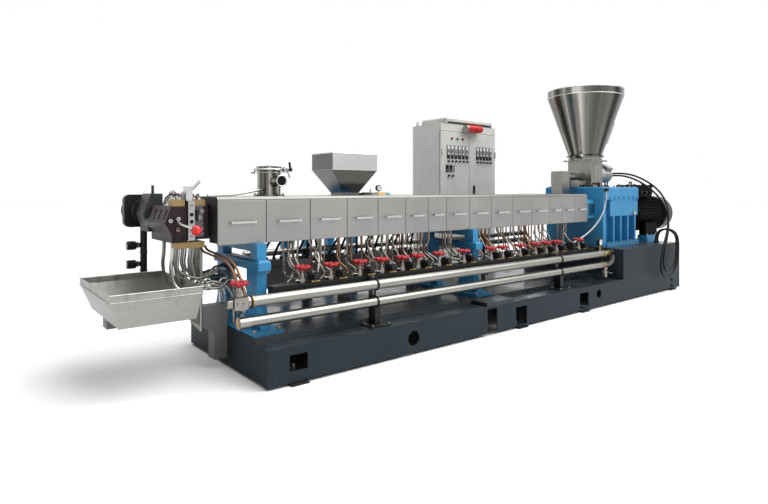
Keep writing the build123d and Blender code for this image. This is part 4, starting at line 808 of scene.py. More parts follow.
class EXTRUDER_OT_stage(Operator):
    """Floor, light and camera"""
    bl_idname = "extruder.stage"
    bl_label = "Stage"

    def execute(self, context):
        self.lay_floor()
        self.light_world(context.scene)
        self.hang_lamps()
        self.place_camera(context.scene)
        context.scene.view_settings.view_transform = "Standard"
        return {"FINISHED"}

    def lay_floor(self):
        """Pale floor that the camera sees a little lighter, except under the base."""
        pale = Finish("studio_floor", (0.93, 0.93, 0.93), 0.9)
        pale.set("Base Color", pale.blend(pale.noise(0.4, 2), (0.92, 0.92, 0.92), (0.94, 0.94, 0.94)))
        low, high = [at(*corner) for corner in limits("base_decks")]
        margin = 0.02
        covered = 1
        for name, edge, outside in (("X", low.x, low.x - margin), ("X", high.x, high.x + margin),
                                    ("Y", low.y, low.y - margin), ("Y", high.y, high.y + margin)):
            covered = covered * pale.band(pale.axis(name), outside, edge)
        seen = pale.node("ShaderNodeLightPath", {}, {}, "Is Camera Ray")
        pale.set("Emission Color", pale.blend(seen * (1 - covered), (0, 0, 0), (0.17, 0.17, 0.17)))
        pale.set("Emission Strength", 1.0)
        deselect()
        bpy.ops.mesh.primitive_plane_add(size=120, location=(0, 0, 0))
        floor = bpy.context.object
        floor.name = "studio_floor"
        floor.data.materials.append(pale.material)

    def hang_lamps(self):
        """A wide soft sun from the front and a large panel overhead."""
        turn = (radians(40), radians(12), radians(24))
        bpy.ops.object.light_add(type="SUN", location=(4, -8, 9), rotation=turn)
        sun = bpy.context.object.data
        sun.energy = 2.3
        sun.angle = radians(50)
        bpy.ops.object.light_add(type="AREA", location=(0, -1.0, 6.5), rotation=(0, 0, 0))
        top = bpy.context.object.data
        top.shape = "RECTANGLE"
        top.size = 9
        top.size_y = 4
        top.energy = 260

    def light_world(self, scene):
        """White to the camera and to mirrors; as a light, softer and weakest from the die end."""
        world = bpy.data.worlds.new("studio")
        scene.world = world
        world.use_nodes = True
        studio = Graph(world.node_tree)
        kinds = ("Is Camera Ray", "Is Glossy Ray", "Is Transmission Ray")
        camera, glossy, through = [studio.node("ShaderNodeLightPath", {}, {}, kind) for kind in kinds]
        seen = studio.node("ShaderNodeMath", {"operation": "MAXIMUM"}, {0: camera + through, 1: glossy}, 0)
        direction = studio.node("ShaderNodeTexCoord", {}, {}, "Generated")
        along = studio.node("ShaderNodeSeparateXYZ", {}, {0: direction}, "X")
        strength = seen + (1 - seen) * (along * 0.22 + 0.38)
        back = world.node_tree.nodes["Background"]
        back.inputs["Color"].default_value = (1, 1, 1, 1)
        world.node_tree.links.new(strength.socket, back.inputs["Strength"])

    def place_camera(self, scene):
        """Level camera at the photograph's place, with the picture shifted down."""
        wide, tall = 768, 504
        focal_length, horizon, middle = 545.8, 190.6, 380
        turn = (radians(90), 0, radians(-38.69))
        bpy.ops.object.camera_add(location=at(-1639, -3203, 1300), rotation=turn)
        camera = bpy.context.object
        camera.data.sensor_width = 36
        camera.data.lens = camera.data.sensor_width * focal_length / wide
        camera.data.shift_x = (wide / 2 - middle) / wide
        camera.data.shift_y = (horizon - tall / 2) / wide
        camera.data.clip_end = 300
        scene.camera = camera


class EXTRUDER_OT_die(Operator):
    """Screws, clamps, heater leads and water tubes at the die head"""
    bl_idname = "extruder.die"
    bl_label = "Die head fittings"

    def execute(self, context):
        front = limits("die_block")[0].y
        places = [(-461, front, 1098), (-409, front, 1110), (-412, front, 1039)]
        parts = socket_screws(places, TO_FRONT, 26, "bright")
        parts += socket_screws(grid((-425, -370), [front], [975]), TO_FRONT, 20, "black")
        piece("die_screws", parts)
        self.clamp()
        self.sockets()
        self.heater_leads()
        self.coupling_rings()
        self.tubes()
        return {"FINISHED"}

    def clamp(self):
        """Two holes in the clamp bar as dark discs of painted shade, its cap block and the post of the
        toggle.
        """
        low, high = limits("die_clamp_bar")
        middle, top = (low.x + high.x) / 2, high.z
        parts = []
        for hole in grid([middle], [low.y], (1137, 1089)):
            # painted shade: a dark disc for each hole
            parts += turned(hole, TO_REAR, [(-1, 4, 13, "dark", 24)])
            parts += rings(hole, TO_REAR, [(-1, 14, 2, "ground", 28, 6)])
        parts += socket_screws(grid([middle], [low.y], (990, 1030, 1200)), TO_FRONT, 16, "zinc")
        piece("clamp_holes", parts)
        parts = turned((-400, 640, 0), UP, [
            (1236, 1292, 24, "ground", 28, 4), (1292, 1302, 15, "bright", 20, 3)])
        parts += [block((-392, y, 1262), (middle, y + 22, 1282), "ground", 4) for y in (600, 660)]
        parts.append(block((middle - 30, 586, top - 4), (middle + 30, 690, top + 46), "ground", 6))
        parts += turned((middle, 611, 1272), TO_DRIVE, [(-34, 34, 9, "zinc", 16, 2)])
        parts += bolts([(middle, 640, top + 46)], UP, 26)
        piece("toggle_links", parts)

    def sockets(self):
        """Ring sockets and a connector on the socket plate."""
        front = limits("die_adaptor")[0].y
        parts = []
        for x, z in ((-258, 1160), (-272, 1118)):
            parts += turned((x, front, z), TO_FRONT, [
                (-2, 10, 17, "plastic", 24, 3), (10, 11, 9, "face", 20)])
            parts += rings((x, front, z), TO_REAR, [(-8, 15, 3, "zinc", 24, 6)])
        parts.append(block((-296, front - 14, 1096), (-282, front + 1, 1172), "plastic", 3))
        parts += socket_screws(grid((-292, -250), [front], (1006, 1040)), TO_FRONT, 12, "zinc")
        piece("socket_rings", parts)

    def heater_leads(self):
        """Ceramic terminals with leads on the heater plates."""
        top = limits("die_heater_plates")[1].z
        to_die = ((0, 560, top + 20), (0, 566, top + 40), (-10, 600, top + 42), (-20, 660, top + 10),
                  (-16, 720, 1205), (-16, 760, 1194))
        to_drive = ((0, 560, top + 20), (0, 566, top + 38), (6, 610, top + 36), (10, 680, top + 6),
                    (8, 730, 1212), (8, 770, 1195))
        leads = ((-420, to_die), (-380, to_die), (-280, to_drive), (-244, to_drive))
        parts = []
        for x, run in leads:
            parts += turned((x, 560, top), UP, [(-4, 16, 9, "white", 16, 3), (16, 24, 5, "brass", 6, 1)])
        for x, run in leads:
            parts.append(bent_tube([(x + side, y, z) for side, y, z in run], 5, "rubber"))
        parts += bolts(grid((-432, -368, -292, -232), [528], [top]), UP, 12)
        piece("heater_terminals", parts)

    def coupling_rings(self):
        """Grip rings on the two hydraulic couplings and ribs on the pipe."""
        x, y = -440, 1188
        grips = ((-117, 28), (-104, 31), (-90, 31), (-76, 31), (-62, 28))
        parts = []
        for z in (885, 742.5):
            pipe = (x, y, z)
            parts += rings(pipe, TO_DRIVE, [(step, radius, 4, "plastic", 28, 8) for step, radius in grips])
            parts += turned(pipe, TO_DRIVE, [(-122, -119, 20, "nickel", 24, 1), (-48, -40, 26, "zinc", 6, 2)])
        parts += rings((x, y, 0), UP, [(z, 26, 4, "black", 28, 8) for z in (540, 690, 830)])
        piece("ram_coupling_rings", parts)

    def tubes(self):
        """Bent tubes under the die, from its underside down to the bed."""
        pick = random.Random(11)
        bed = 297
        parts = []
        for number in range(13):
            x = -425 + number * 17
            y = 640 + pick.random() * 260
            low = 590 + pick.random() * 110
            side = 40 + pick.random() * 120
            end_x, end_y = 40 + pick.random() * 150, 560 + pick.random() * 420
            points = [(x, y, 948), (x, y, 860), (x - 10, y + 12, 780), (x - 6 + side * 0.2, y + 10, low + 30),
                      (x + side, y - 20, low - 30), (x + side + 80, y - 30, low + 10),
                      (x + side + 120, y - 10, low + 60), (end_x - 60, end_y, low + 20),
                      (end_x, end_y, low - 80), (end_x, end_y, 420), (end_x, end_y, bed)]
            parts.append(bent_tube(points, 9 + number % 3 * 3, ("nickel", "zinc", "bright")[number % 3]))
        for number in range(5):
            metal = "nickel" if number % 2 else "zinc"
            parts += turned((-200 + number * 9, 640 + number * 70, 0), UP, [(bed, 940, 11, metal, 14)])
        piece("die_water_tubes", parts)
        first = [(-235, 556, 908), (-232, 540, 880), (-214, 470, 866), (-190, 400, 850), (-165, 320, 832),
                 (-150, 250, 800), (-142, 200, 750), (-136, 176, 690), (-130, 160, 640), (-126, 150, 604)]
        second = [(x + 34, y + 6, z + 6) for x, y, z in first[:-1]] + [(-92, 140, 604)]
        piece("die_copper_tubes", [bent_tube(run, 8, "copper") for run in (first, second)])


class EXTRUDER_OT_covers(Operator):
    """Clamp, mouth, bolts and lever of the vent, and the seams of the cover's lid"""
    bl_idname = "extruder.covers"
    bl_label = "Cover and vent fittings"

    def execute(self, context):
        vent_low, vent_high = limits("vent_stack")
        lid = limits("cover_lid")[1].z
        x, y = VENT_AXIS
        top = Vector((x, y, vent_high.z))
        parts = rings(top, UP, [(-10, 112, 9, "bright", 48)])
        parts += turned(top, UP, [(-2, 14, 98, "vent", 40, 5), (14, 22, 26, "bright", 20, 3)])
        parts += rings(top, UP, [(-34, 92, 5, "bright", 48)])
        lug = top + Vector((96, -84, -10))
        parts += blocks(lug, [((-17, -17, -24), (17, 17, 20), "bright", 5)])
        parts += rods(lug, [
            ((-20, -20, 0), (26, -40, 0), 8, "zinc", 14, 2),
            ((26, -40, -4), (10, -52, 56), 9, "black", 14, 3),
            ((8, -20, 0), (30, -24, -64), 7, "bright", 14, 2),
            ((-180, 150, -20), (-206, 168, -20), 12, "bright", 16, 3),
        ])
        parts.append(ball(lug + Vector((26, -40, 0)), 17, "black"))
        piece("vent_clamp", parts)

        stack_foot = 1257
        mouth = (x, vent_low.y, stack_foot + (top.z - stack_foot) * 0.54)
        # painted shade: the mouth's opening is a dark disc
        parts = turned(mouth, TO_REAR, [(6, 8, 34.5, "dark", 32)])
        root = y - 92 - vent_low.y
        parts += rings(mouth, TO_REAR, [(2, 41, 5, "bright", 40, 8), (root, 42, 5, "vent", 40, 8)])
        piece("vent_mouth", parts)

        parts = bolts(around((x, y, lid + 13), "Z", 107, 8, 15), UP, sizes().small_bolt)
        piece("vent_bolts", parts)

        bar = ((-170, 600, 9), (-60, 602, 10), (60, 606, 18), (160, 612, 34), (250, 626, 50), (290, 650, 55))
        lever = bent_tube([(along, across, lid + rise) for along, across, rise in bar], 11, "bright")
        piece("vent_lever", [lever])

        seams = [block((place.x - 1.5, 425, lid - 1), (place.x + 1.5, 975, lid + 1.2), "frame", 0)
                 for place in row((380, 0, 0), (4000, 0, 0), 6)]
        piece("lid_seams", seams)
        return {"FINISHED"}


STATION_SHARES = (0.0612, 0.1210, 0.1865, 0.2402, 0.2935, 0.3359, 0.3969, 0.4749,
                  0.5670, 0.6089, 0.6761, 0.7393, 0.7843, 0.8313, 0.9361)


class EXTRUDER_OT_water(Operator):
    """Coils, unions, handwheels, returns, conduits, pipe ends and gauge of the cooling water"""
    bl_idname = "extruder.water"
    bl_label = "Cooling water fittings"

    def execute(self, context):
        low, high = limits("valve_trunk")
        self.middle, self.top = (low.y + high.y) / 2, high.z
        self.places = [low.x + (high.x - low.x) * share for share in STATION_SHARES]
        self.coils()
        self.valve_nuts()
        self.wheels()
        self.bent_risers()
        self.heater_conduits()
        self.pipe_starts()
        self.pipe_ends()
        self.gauge()
        return {"FINISHED"}

    def coils(self):
        """Plug, nut and base plate of each solenoid valve."""
        beside_valve = 92
        places = [Vector((place + beside_valve, self.middle, self.top)) for place in self.places]
        first = places[0]
        model = blocks(first, [((-36, -36, -1), (36, 36, 9), "brass", 2),
                               ((-22, -50, 14), (22, -28, 56), "plastic", 4)])
        model += turned(first, UP, [(66, 78, 16, "zinc", 6, 2)])
        model += blocks(first, [((-12, -34.5, 22), (12, -30.5, 40), "face", 1)])
        piece("coil_plugs", repeated(model, first, places))

    def valve_nuts(self):
        """Union nuts under each handwheel."""
        places = [Vector((place, self.middle, self.top)) for place in self.places]
        first = places[0]
        model = turned(first, UP, [(0, 12, 27, "nickel", 6, 2), (34, 46, 19, "nickel", 6, 2)])
        model += turned(first + Vector((0, 0, 18)), TO_DRIVE, [(-34, -16, 15, "nickel", 6, 2),
                                                               (-60, -34, 9, "nickel", 12)])
        piece("valve_unions", repeated(model, first, places))

    def bent_risers(self):
        """Cooling returns behind each valve, bent by hand: some kinked, some looped, copper among nickel."""
        pick = random.Random(23)
        under = limits("cover_panels")[0].z + 4
        behind = limits("cover_panels")[0].y + 34
        top = self.top
        parts = []
        for place in self.places:
            for number in range(3):
                x = place - 70 + number * 62 + pick.random() * 40
                y = self.middle + 62 + pick.random() * 30
                lean = pick.uniform(-34, 34)
                knee = top + 60 + pick.random() * 130
                bow = pick.uniform(26, 58) * pick.choice((-1, 1))
                back = behind + pick.random() * 60
                points = [(x - 52, y - 20, top - 4), (x - 40, y - 10, top + 10), (x - 8, y, top + 14),
                          (x, y + 4, top + 44), (x + bow, (y + back) / 2, knee),
                          (x + bow * 0.6, back, knee + 50), (x + lean, back, knee + 92),
                          (x + lean, back, under - 20), (x + lean, back, under + 46)]
                finish = ("copper", "tube", "nickel", "tube")[pick.randrange(4)]
                parts.append(bent_tube(points, pick.choice((6.5, 8, 9.5)), finish))
        piece("bent_returns", parts)

    def heater_conduits(self):
        """Black conduits with glands, from the barrel's heaters down to the rear trunk."""
        pick = random.Random(5)
        low, high = limits("rear_cable_trunk")
        under = limits("cover_panels")[0].z
        parts = []
        for place in row((low.x + 60, 0, 0), (high.x - 60, 0, 0), 16):
            x = place.x
            y = (low.y + high.y) / 2 + pick.uniform(-20, 20)
            shift = pick.uniform(-90, 90)
            sag = pick.uniform(20, 70)
            points = [(x, y, high.z - 2), (x, y, high.z + 60), (x + shift * 0.2, y - 10, high.z + 120),
                      (x + shift * 0.8, y - 60, under - sag), (x + shift, y - 110, under - sag * 0.4),
                      (x + shift, y - 130, under + 60)]
            parts.append(bent_tube(points, 11, "rubber"))
            parts += turned((x, y, high.z), UP, [(0, 26, 17, "plastic", 8, 3)])
        piece("heater_conduits", parts)

    def wheels(self):
        """Lobed handwheels with four spokes, in place of the plain CAD wheels."""
        hub_height = 732
        hub = Vector((self.places[0], self.middle, hub_height))
        model = rings(hub, UP, [(12, 45, 10, "red", 32, 10)])
        for way in spokes("Z", 8, 10):
            model.append(ball(hub + way * 48 + Vector((0, 0, 12)), 14, "red", (1, 1, 1.05), 12))
        for way in spokes("Z", 4, 10):
            model += rods(hub, [((0, 0, -8), way * 44 + Vector((0, 0, 10)), 7, "red", 10)])
        model += turned(hub, UP, [(-18, 12, 15, "red", 18, 3), (12, 19, 9, "zinc", 6, 1)])
        places = [(place, self.middle, hub_height) for place in self.places]
        places.append((PIPE_VALVE, PIPE_LINE, 690))
        whole = piece("lobed_handwheels", repeated(model, hub, places))
        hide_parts("valve_handwheels")

    def pipe_starts(self):
        """Rings, cap and valve body at the die end of the two front pipes."""
        parts = turned(UPPER_PIPE, TO_DRIVE, [
            (-92, -82, 43, "zinc", 28, 3), (-74, -64, 44, "black", 28, 3), (-60, -52, 42, "brass", 28, 3)])
        parts += turned(LOWER_PIPE, TO_DRIVE, [
            (-150, -70, 40.5, "zinc", 32, 5), (-152, -148, 30, "brass", 28, 1)])
        parts += blocks(UPPER_PIPE, [((-232, -26, -24), (-192, 26, 28), "nickel", 6)])
        parts += turned(UPPER_PIPE, TO_DRIVE, [(-192, -186, 34, "zinc", 24, 2)])
        parts += bolts(grid((-165, -125), [-39], [0], UPPER_PIPE), TO_FRONT, 18)
        parts += turned((PIPE_VALVE, PIPE_LINE, 0), UP, [
            (612, 640, 22, "nickel", 8, 5), (640, 678, 12, "red", 16, 2)])
        piece("pipe_start_fittings", parts)

    def pipe_ends(self):
        """Unions, elbow and drain valve at the drive end of the two front pipes."""
        parts = turned(UPPER_PIPE, TO_DRIVE, [
            (4308, 4340, 44, "brass", 8, 4), (4340, 4420, 24, "zinc", 20, 3),
            (4420, 4448, 34, "brass", 6, 3), (4448, 4540, 30, "rubber", 20, 6)])
        parts += turned(LOWER_PIPE, TO_DRIVE, [
            (4308, 4336, 44, "brass", 8, 4), (4336, 4400, 26, "zinc", 20, 3),
            (4400, 4430, 34, "nickel", 6, 3)])
        elbow = ((4430, 440), (4480, 440), (4520, 455), (4548, 490), (4552, 540))
        parts.append(bent_tube([(x, PIPE_LINE, z) for x, z in elbow], 26, "grey"))
        drain = (4376, PIPE_LINE, 0)
        parts += turned(drain, UP, [
            (440, 300, 17, "nickel", 16, 3), (384, 412, 30, "nickel", 6, 4), (338, 366, 36, "nickel", 6, 4),
            (298, 326, 28, "nickel", 6, 4)])
        parts += blocks(drain, [((-10, -80, 346), (10, -30, 356), "bright", 3)])
        parts += rods(drain, [((0, -40, 352), (0, -20, 352), 10, "zinc", 12, 2)])
        piece("pipe_end_fittings", parts)

    def gauge(self):
        """Pressure gauge on the upper pipe, with a pointer and nine ticks."""
        dial = Vector((4262, PIPE_LINE, 706))
        parts = turned(dial, UP, [(-98, -38, 9, "brass", 14, 2), (-80, -66, 15, "brass", 6, 2)])
        parts += turned(dial, TO_FRONT, [(-18, 14, 40, "black", 32, 4), (14, 16, 34, "white", 32)])
        parts += rings(dial, TO_REAR, [(-15, 37, 4, "black", 36)])
        parts += turned(dial, TO_FRONT, [(16, 20, 5, "black", 12)])
        parts += blocks(dial, [((-1.5, -18.5, -2), (1.5, -17, 26), "red", 0)])
        for step in range(-4, 5):
            turn = radians(step * 30)
            way = Vector((sin(turn), 0, cos(turn)))
            inner, outer = way * 27 - Vector((0, 16, 0)), way * 32 - Vector((0, 17, 0))
            parts += rods(dial, [(inner, outer, 1.2, "black", 4)])
        piece("water_gauge", parts)


class EXTRUDER_OT_gearbox(Operator):
    """Bolts, sight glass and plugs of the gearbox and lantern"""
    bl_idname = "extruder.gearbox"
    bl_label = "Gearbox fittings"

    def execute(self, context):
        low, high = limits("gearbox_cover")
        foot_low, foot_high = limits("gearbox_housing")
        parts = []
        for y, way in ((low.y, TO_FRONT), (high.y, TO_REAR)):
            parts += bolts(row((low.x + 40, y, low.z + 22), (high.x - 40, y, low.z + 22), 8), way, 22, "blue")
        for y in (low.y + 34, high.y - 34):
            parts += bolts(row((low.x + 60, y, high.z), (high.x - 60, y, high.z), 7), UP, 26)
        piece("gearbox_cover_bolts", parts)

        foot = foot_low.z + 40
        parts = []
        for y in (foot_low.y + 10, foot_high.y - 10):
            places = row((foot_low.x + 130, y, foot), (high.x - 30, y, foot), 5)
            parts += bolts(places, UP, sizes().large_bolt)
        piece("gearbox_foot_bolts", parts)

        band = foot_low.y + 14
        parts = turned((5420, band, 1010), TO_FRONT, [(-2, 16, 26, "brass", 6, 3), (16, 18, 18, "white", 24)])
        parts += turned((5330, 382, 690), TO_FRONT, [(0, 30, 20, "brass", 6, 3)])
        parts += turned((4900, 500, high.z), UP, [(0, 46, 26, "black", 20, 6), (46, 58, 20, "black", 20, 5)])
        parts += bolts(grid((4850, 5500), [band], [1172]), TO_FRONT, 18, "blue")
        piece("gearbox_oil_fittings", parts)

        low, high = limits("lantern_guards")
        parts = bolts(grid((low.x + 14, high.x - 14), [low.y], (low.z + 16, high.z - 60)), TO_FRONT, 14)
        piece("guard_screws", parts)
        first = low + Vector((30, 0, 46))
        spots = [first + Vector((number * 22 + line % 2 * 11, 0, line * 18)) for line in range(8)
                 for number in range(6)]
        # painted shade: each hole of the guard is a thin dark disc
        hole = turned(first, TO_FRONT, [(0, 1.2, 7.5, "dark", 12)])
        piece("guard_hole_painted_shade", repeated(hole, first, spots))
        return {"FINISHED"}


class EXTRUDER_OT_motor(Operator):
    """Lid, bolts and fan grille of the main motor"""
    bl_idname = "extruder.motor"
    bl_label = "Motor fittings"

    def execute(self, context):
        low, high = limits("terminal_box")
        parts = [block((low.x - 8, low.y - 8, high.z - 30), (high.x + 8, high.y + 8, high.z + 6), "motor", 8)]
        along = (low.x + 24, (low.x + high.x) / 2, high.x - 24)
        parts += bolts(grid(along, (low.y + 20, high.y - 20), [high.z + 6]), UP, 20, "black")
        for place in row((low.x + 120, low.y, low.z + 60), (high.x - 120, low.y, low.z + 60), 3):
            parts += turned(place, TO_FRONT, [(0, 34, 24, "plastic", 6, 4), (34, 50, 18, "plastic", 16, 4)])
        piece("terminal_lid", parts)

        low, high = limits("fan_cowl")
        axis = (low + high) / 2
        end = Vector((high.x, axis.y, axis.z))
        parts = rings(end, TO_DRIVE, [(2, radius, 3.5, "black", 40, 6) for radius in (40, 70, 100, 130, 160)])
        ahead = Vector((1, 0, 0))
        for way in spokes("X", 8, 22):
            parts += rods(end, [(ahead, ahead + way * 186, 4, "black", 6)])
        parts += turned(end, TO_DRIVE, [(-2, 8, 26, "cowl", 24, 4)])
        piece("fan_grille", parts)

        collar = Vector((low.x, axis.y, axis.z))
        parts = self.radial_bolts(collar + ahead * 36, 240, spokes("X", 8, 10), 18, "zinc")
        parts += rings(collar, TO_DRIVE, [(4, 240, 5, "cowl", 48)])
        piece("cowl_screws", parts)

        low, high = limits("motor_rails")
        parts = bolts(grid((low.x + 40, high.x - 40), (low.y + 24, high.y - 24), [high.z]), UP, 36)
        piece("motor_foot_bolts", parts)

        flange = Vector((limits("coupling_bell")[0].x + 66, axis.y, axis.z))
        parts = self.radial_bolts(flange, 200, spokes("X", 12), 22, "black")
        face = (limits("motor_body")[0].x, axis.y, axis.z)
        parts += bolts(around(face, "X", 212, 8, 22.5), TO_DIE, 24, "black")
        piece("bell_bolts", parts)
        return {"FINISHED"}

    def radial_bolts(self, middle, radius, ways, width, finish):
        """Bolts on a drum, each pointing away from its axis."""
        parts = []
        for way in ways:
            parts += bolts([middle + way * radius], way, width, finish)
        return parts


class EXTRUDER_OT_feeder(Operator):
    """Flange bolts, sight slot, knob and fins of the main feeder"""
    bl_idname = "extruder.feeder"
    bl_label = "Main feeder fittings"

    def execute(self, context):
        low, high = limits("feeder_throat")
        x, y = HOPPER_AXIS
        flange = high.z + 60
        places = []
        for edge in (low.y + 20, high.y - 20):
            places += row((low.x + 20, edge, high.z), (high.x - 20, edge, high.z), 5)
        parts = bolts(places, UP, 18)
        parts += bolts(around((x, y, flange), "Z", 219, 12), UP, 15)
        piece("hopper_flange_bolts", parts)

        rim = (x, y, limits("feeder_hopper")[1].z)
        parts = turned((x, y, high.z), UP, [(2, 44, 208, "sheet", 64, 4)])
        parts += rings(rim, UP, [(-4, 468, 8, "bright", 72), (-90, 470, 5, "bright", 72)])
        piece("hopper_rim_bead", parts)

        parts = []
        # painted shade: a dark rod stands for the slot's opening, in a bright frame
        for out, finish, radius in ((0, "dark", 9.5), (6, "bright", 13)):
            start, end = [self.on_cone(x, y, flange, height, -64, out) for height in (150, 420)]
            parts.append(rod(start, end, radius, finish, 10, 2))
        piece("sight_slot", parts)

        parts = turned((x, y - 60, high.z + 40), TO_DIE, [
            (232, 262, 10, "zinc", 14, 2), (262, 300, 24, "plastic", 20, 7)])
        piece("hopper_knob", parts)

        face = low.y + 42
        parts = [block((low.x + 92, face - 3, low.z + 110), (high.x - 62, face + 1, high.z - 40), "sheet", 1)]
        parts += bolts(grid((low.x + 104, high.x - 74), [face - 3], (low.z + 124, high.z - 54)), TO_FRONT, 13)
        piece("throat_plate", parts)
        self.gear_motor(y)
        self.chute()
        return {"FINISHED"}

    def gear_motor(self, y):
        """Round fins, flange bolts and end cap of the gear motor."""
        axis_height = 1509.91
        axis = Vector((0, y, axis_height))
        fins = [(5282 + number * 11.5, 97, 5.2, "aluminium", 36, 6) for number in range(14)]
        parts = rings(axis, TO_DRIVE, fins)
        parts += bolts(around(axis + Vector((5103, 0, 0)), "X", 112, 6, 15), TO_DRIVE, 15)
        parts += turned(axis, TO_DRIVE, [(5440, 5456, 84, "aluminium", 36, 6)])
        piece("gear_motor_fins", parts)

    def chute(self):
        """End plate and saddle of the chute, flanges of its screw tube."""
        screw = Vector((0, CENTRE_LINE, 1480))
        parts = [block((4284, 619, 1372), (4290, 781, 1526), "sheet", 2)]
        parts += bolts(grid([4284], (632, 768), (1386, 1512)), TO_DIE, 12)
        parts += turned(screw, TO_DRIVE, [(4455, 4470, 66, "sheet", 32, 3), (4780, 4797, 66, "sheet", 32, 3)])
        parts += bolts(around(screw + Vector((4470, 0, 0)), "X", 57, 6), TO_DRIVE, 11)
        parts.append(block((4520, 650, 1346), (4660, 750, 1392), "grey", 4))
        parts.append(block((4560, 676, 1392), (4620, 724, 1436), "sheet", 4))
        piece("chute_fittings", parts)

    def on_cone(self, x, y, base, height, angle, out):
        """Point on the hopper's cone at a height above its neck."""
        neck_radius, rim_radius, tall = 205, 470, 760
        radius = neck_radius + (rim_radius - neck_radius) * height / tall + out * 0.2
        return (x + radius * cos(radians(angle)), y + radius * sin(radians(angle)), base + height)


class EXTRUDER_OT_side_feeder(Operator):
    """Front panel, drive bands, motor and bolts of the side feeder"""
    bl_idname = "extruder.side_feeder"
    bl_label = "Side feeder fittings"

    def execute(self, context):
        low, high = limits("side_hopper")
        band = high.z - 160
        panel = block((low.x + 3, low.y - 3, band + 3), (high.x - 3, low.y + 1, high.z - 3), "panel", 1)
        piece("hopper_front_panel", [panel])
        parts = rim_rods(low, high, ((high.z - 2, 5, "bright", 8), (band, 4, "sheet", 8)))
        piece("side_hopper_rim", parts)

        drive = Vector((0, SIDE_LINE, 1235))
        parts = turned(drive, TO_DRIVE, [
            (1703, 1797, 45, "black", 28, 5), (1803, 1877, 46, "grey", 28, 5),
            (1883, 1987, 47, "yellow", 28, 5), (1993, 2046, 45, "teal", 28, 5)])
        parts += rings(drive, TO_DRIVE, [(1708 + number * 13, 45, 3, "black", 28, 6) for number in range(7)])
        piece("side_drive_bands", parts)

        dial = drive + Vector((1915, 0, 92))
        parts = turned(dial, UP, [(-48, -30, 7, "zinc", 12, 2)])
        parts += turned(dial, TO_FRONT, [(-14, 12, 32, "black", 28, 4), (12, 14, 26, "white", 28)])
        parts += turned(drive + Vector((1810, 0, 0)), UP, [(42, 78, 9, "white", 14, 3)])
        piece("side_gauge", parts)

        middle = 1485
        self.drive_motor(Vector((middle, limits("side_feeder_drives")[1].y, 1075)))
        neck = Vector((middle, SIDE_LINE, limits("side_feeder_body")[1].z - 10))
        parts = blocks(neck, [((-125, -125, -16), (125, 125, 0), "zinc", 2)])
        parts += bolts(grid((-112, 112), (-112, 0, 112), [0], neck), UP, sizes().small_bolt)
        piece("side_neck_flange", parts)

        low, high = limits("side_feeder_stand")
        parts = []
        for foot in grid((low.x + 40, high.x - 40), (low.y + 40, high.y - 40), [0]):
            parts += blocks(foot, [((-62, -62, 0), (62, 62, 12), "blue", 2)])
            parts += bolts(grid((-50, 50), (-50, 50), [12], foot), UP, 15)
        piece("side_stand_feet", parts)
        return {"FINISHED"}

    def drive_motor(self, end):
        """Cooling fins, terminal box and fan cowl of the side feeder's motor."""
        radius = 105
        parts = []
        for way in spokes("Y", 24):
            parts += turned(end + way * radius, TO_REAR, [(-305, -96, 5, "motor", 8, 1.5)])
        parts += turned(end, TO_REAR, [(-90, -2, radius + 6, "cowl", 40, 10)])
        parts += rings(end, TO_REAR, [(-2, ring, 3, "black", 32, 6) for ring in (30, 52, 74)])
        parts += blocks(end, [((-45, -245, 96), (45, -155, 142), "motor", 6)])
        parts += bolts(grid((-34, 34), (-234, -166), [142], end), UP, 10)
        piece("side_motor_fins", parts)


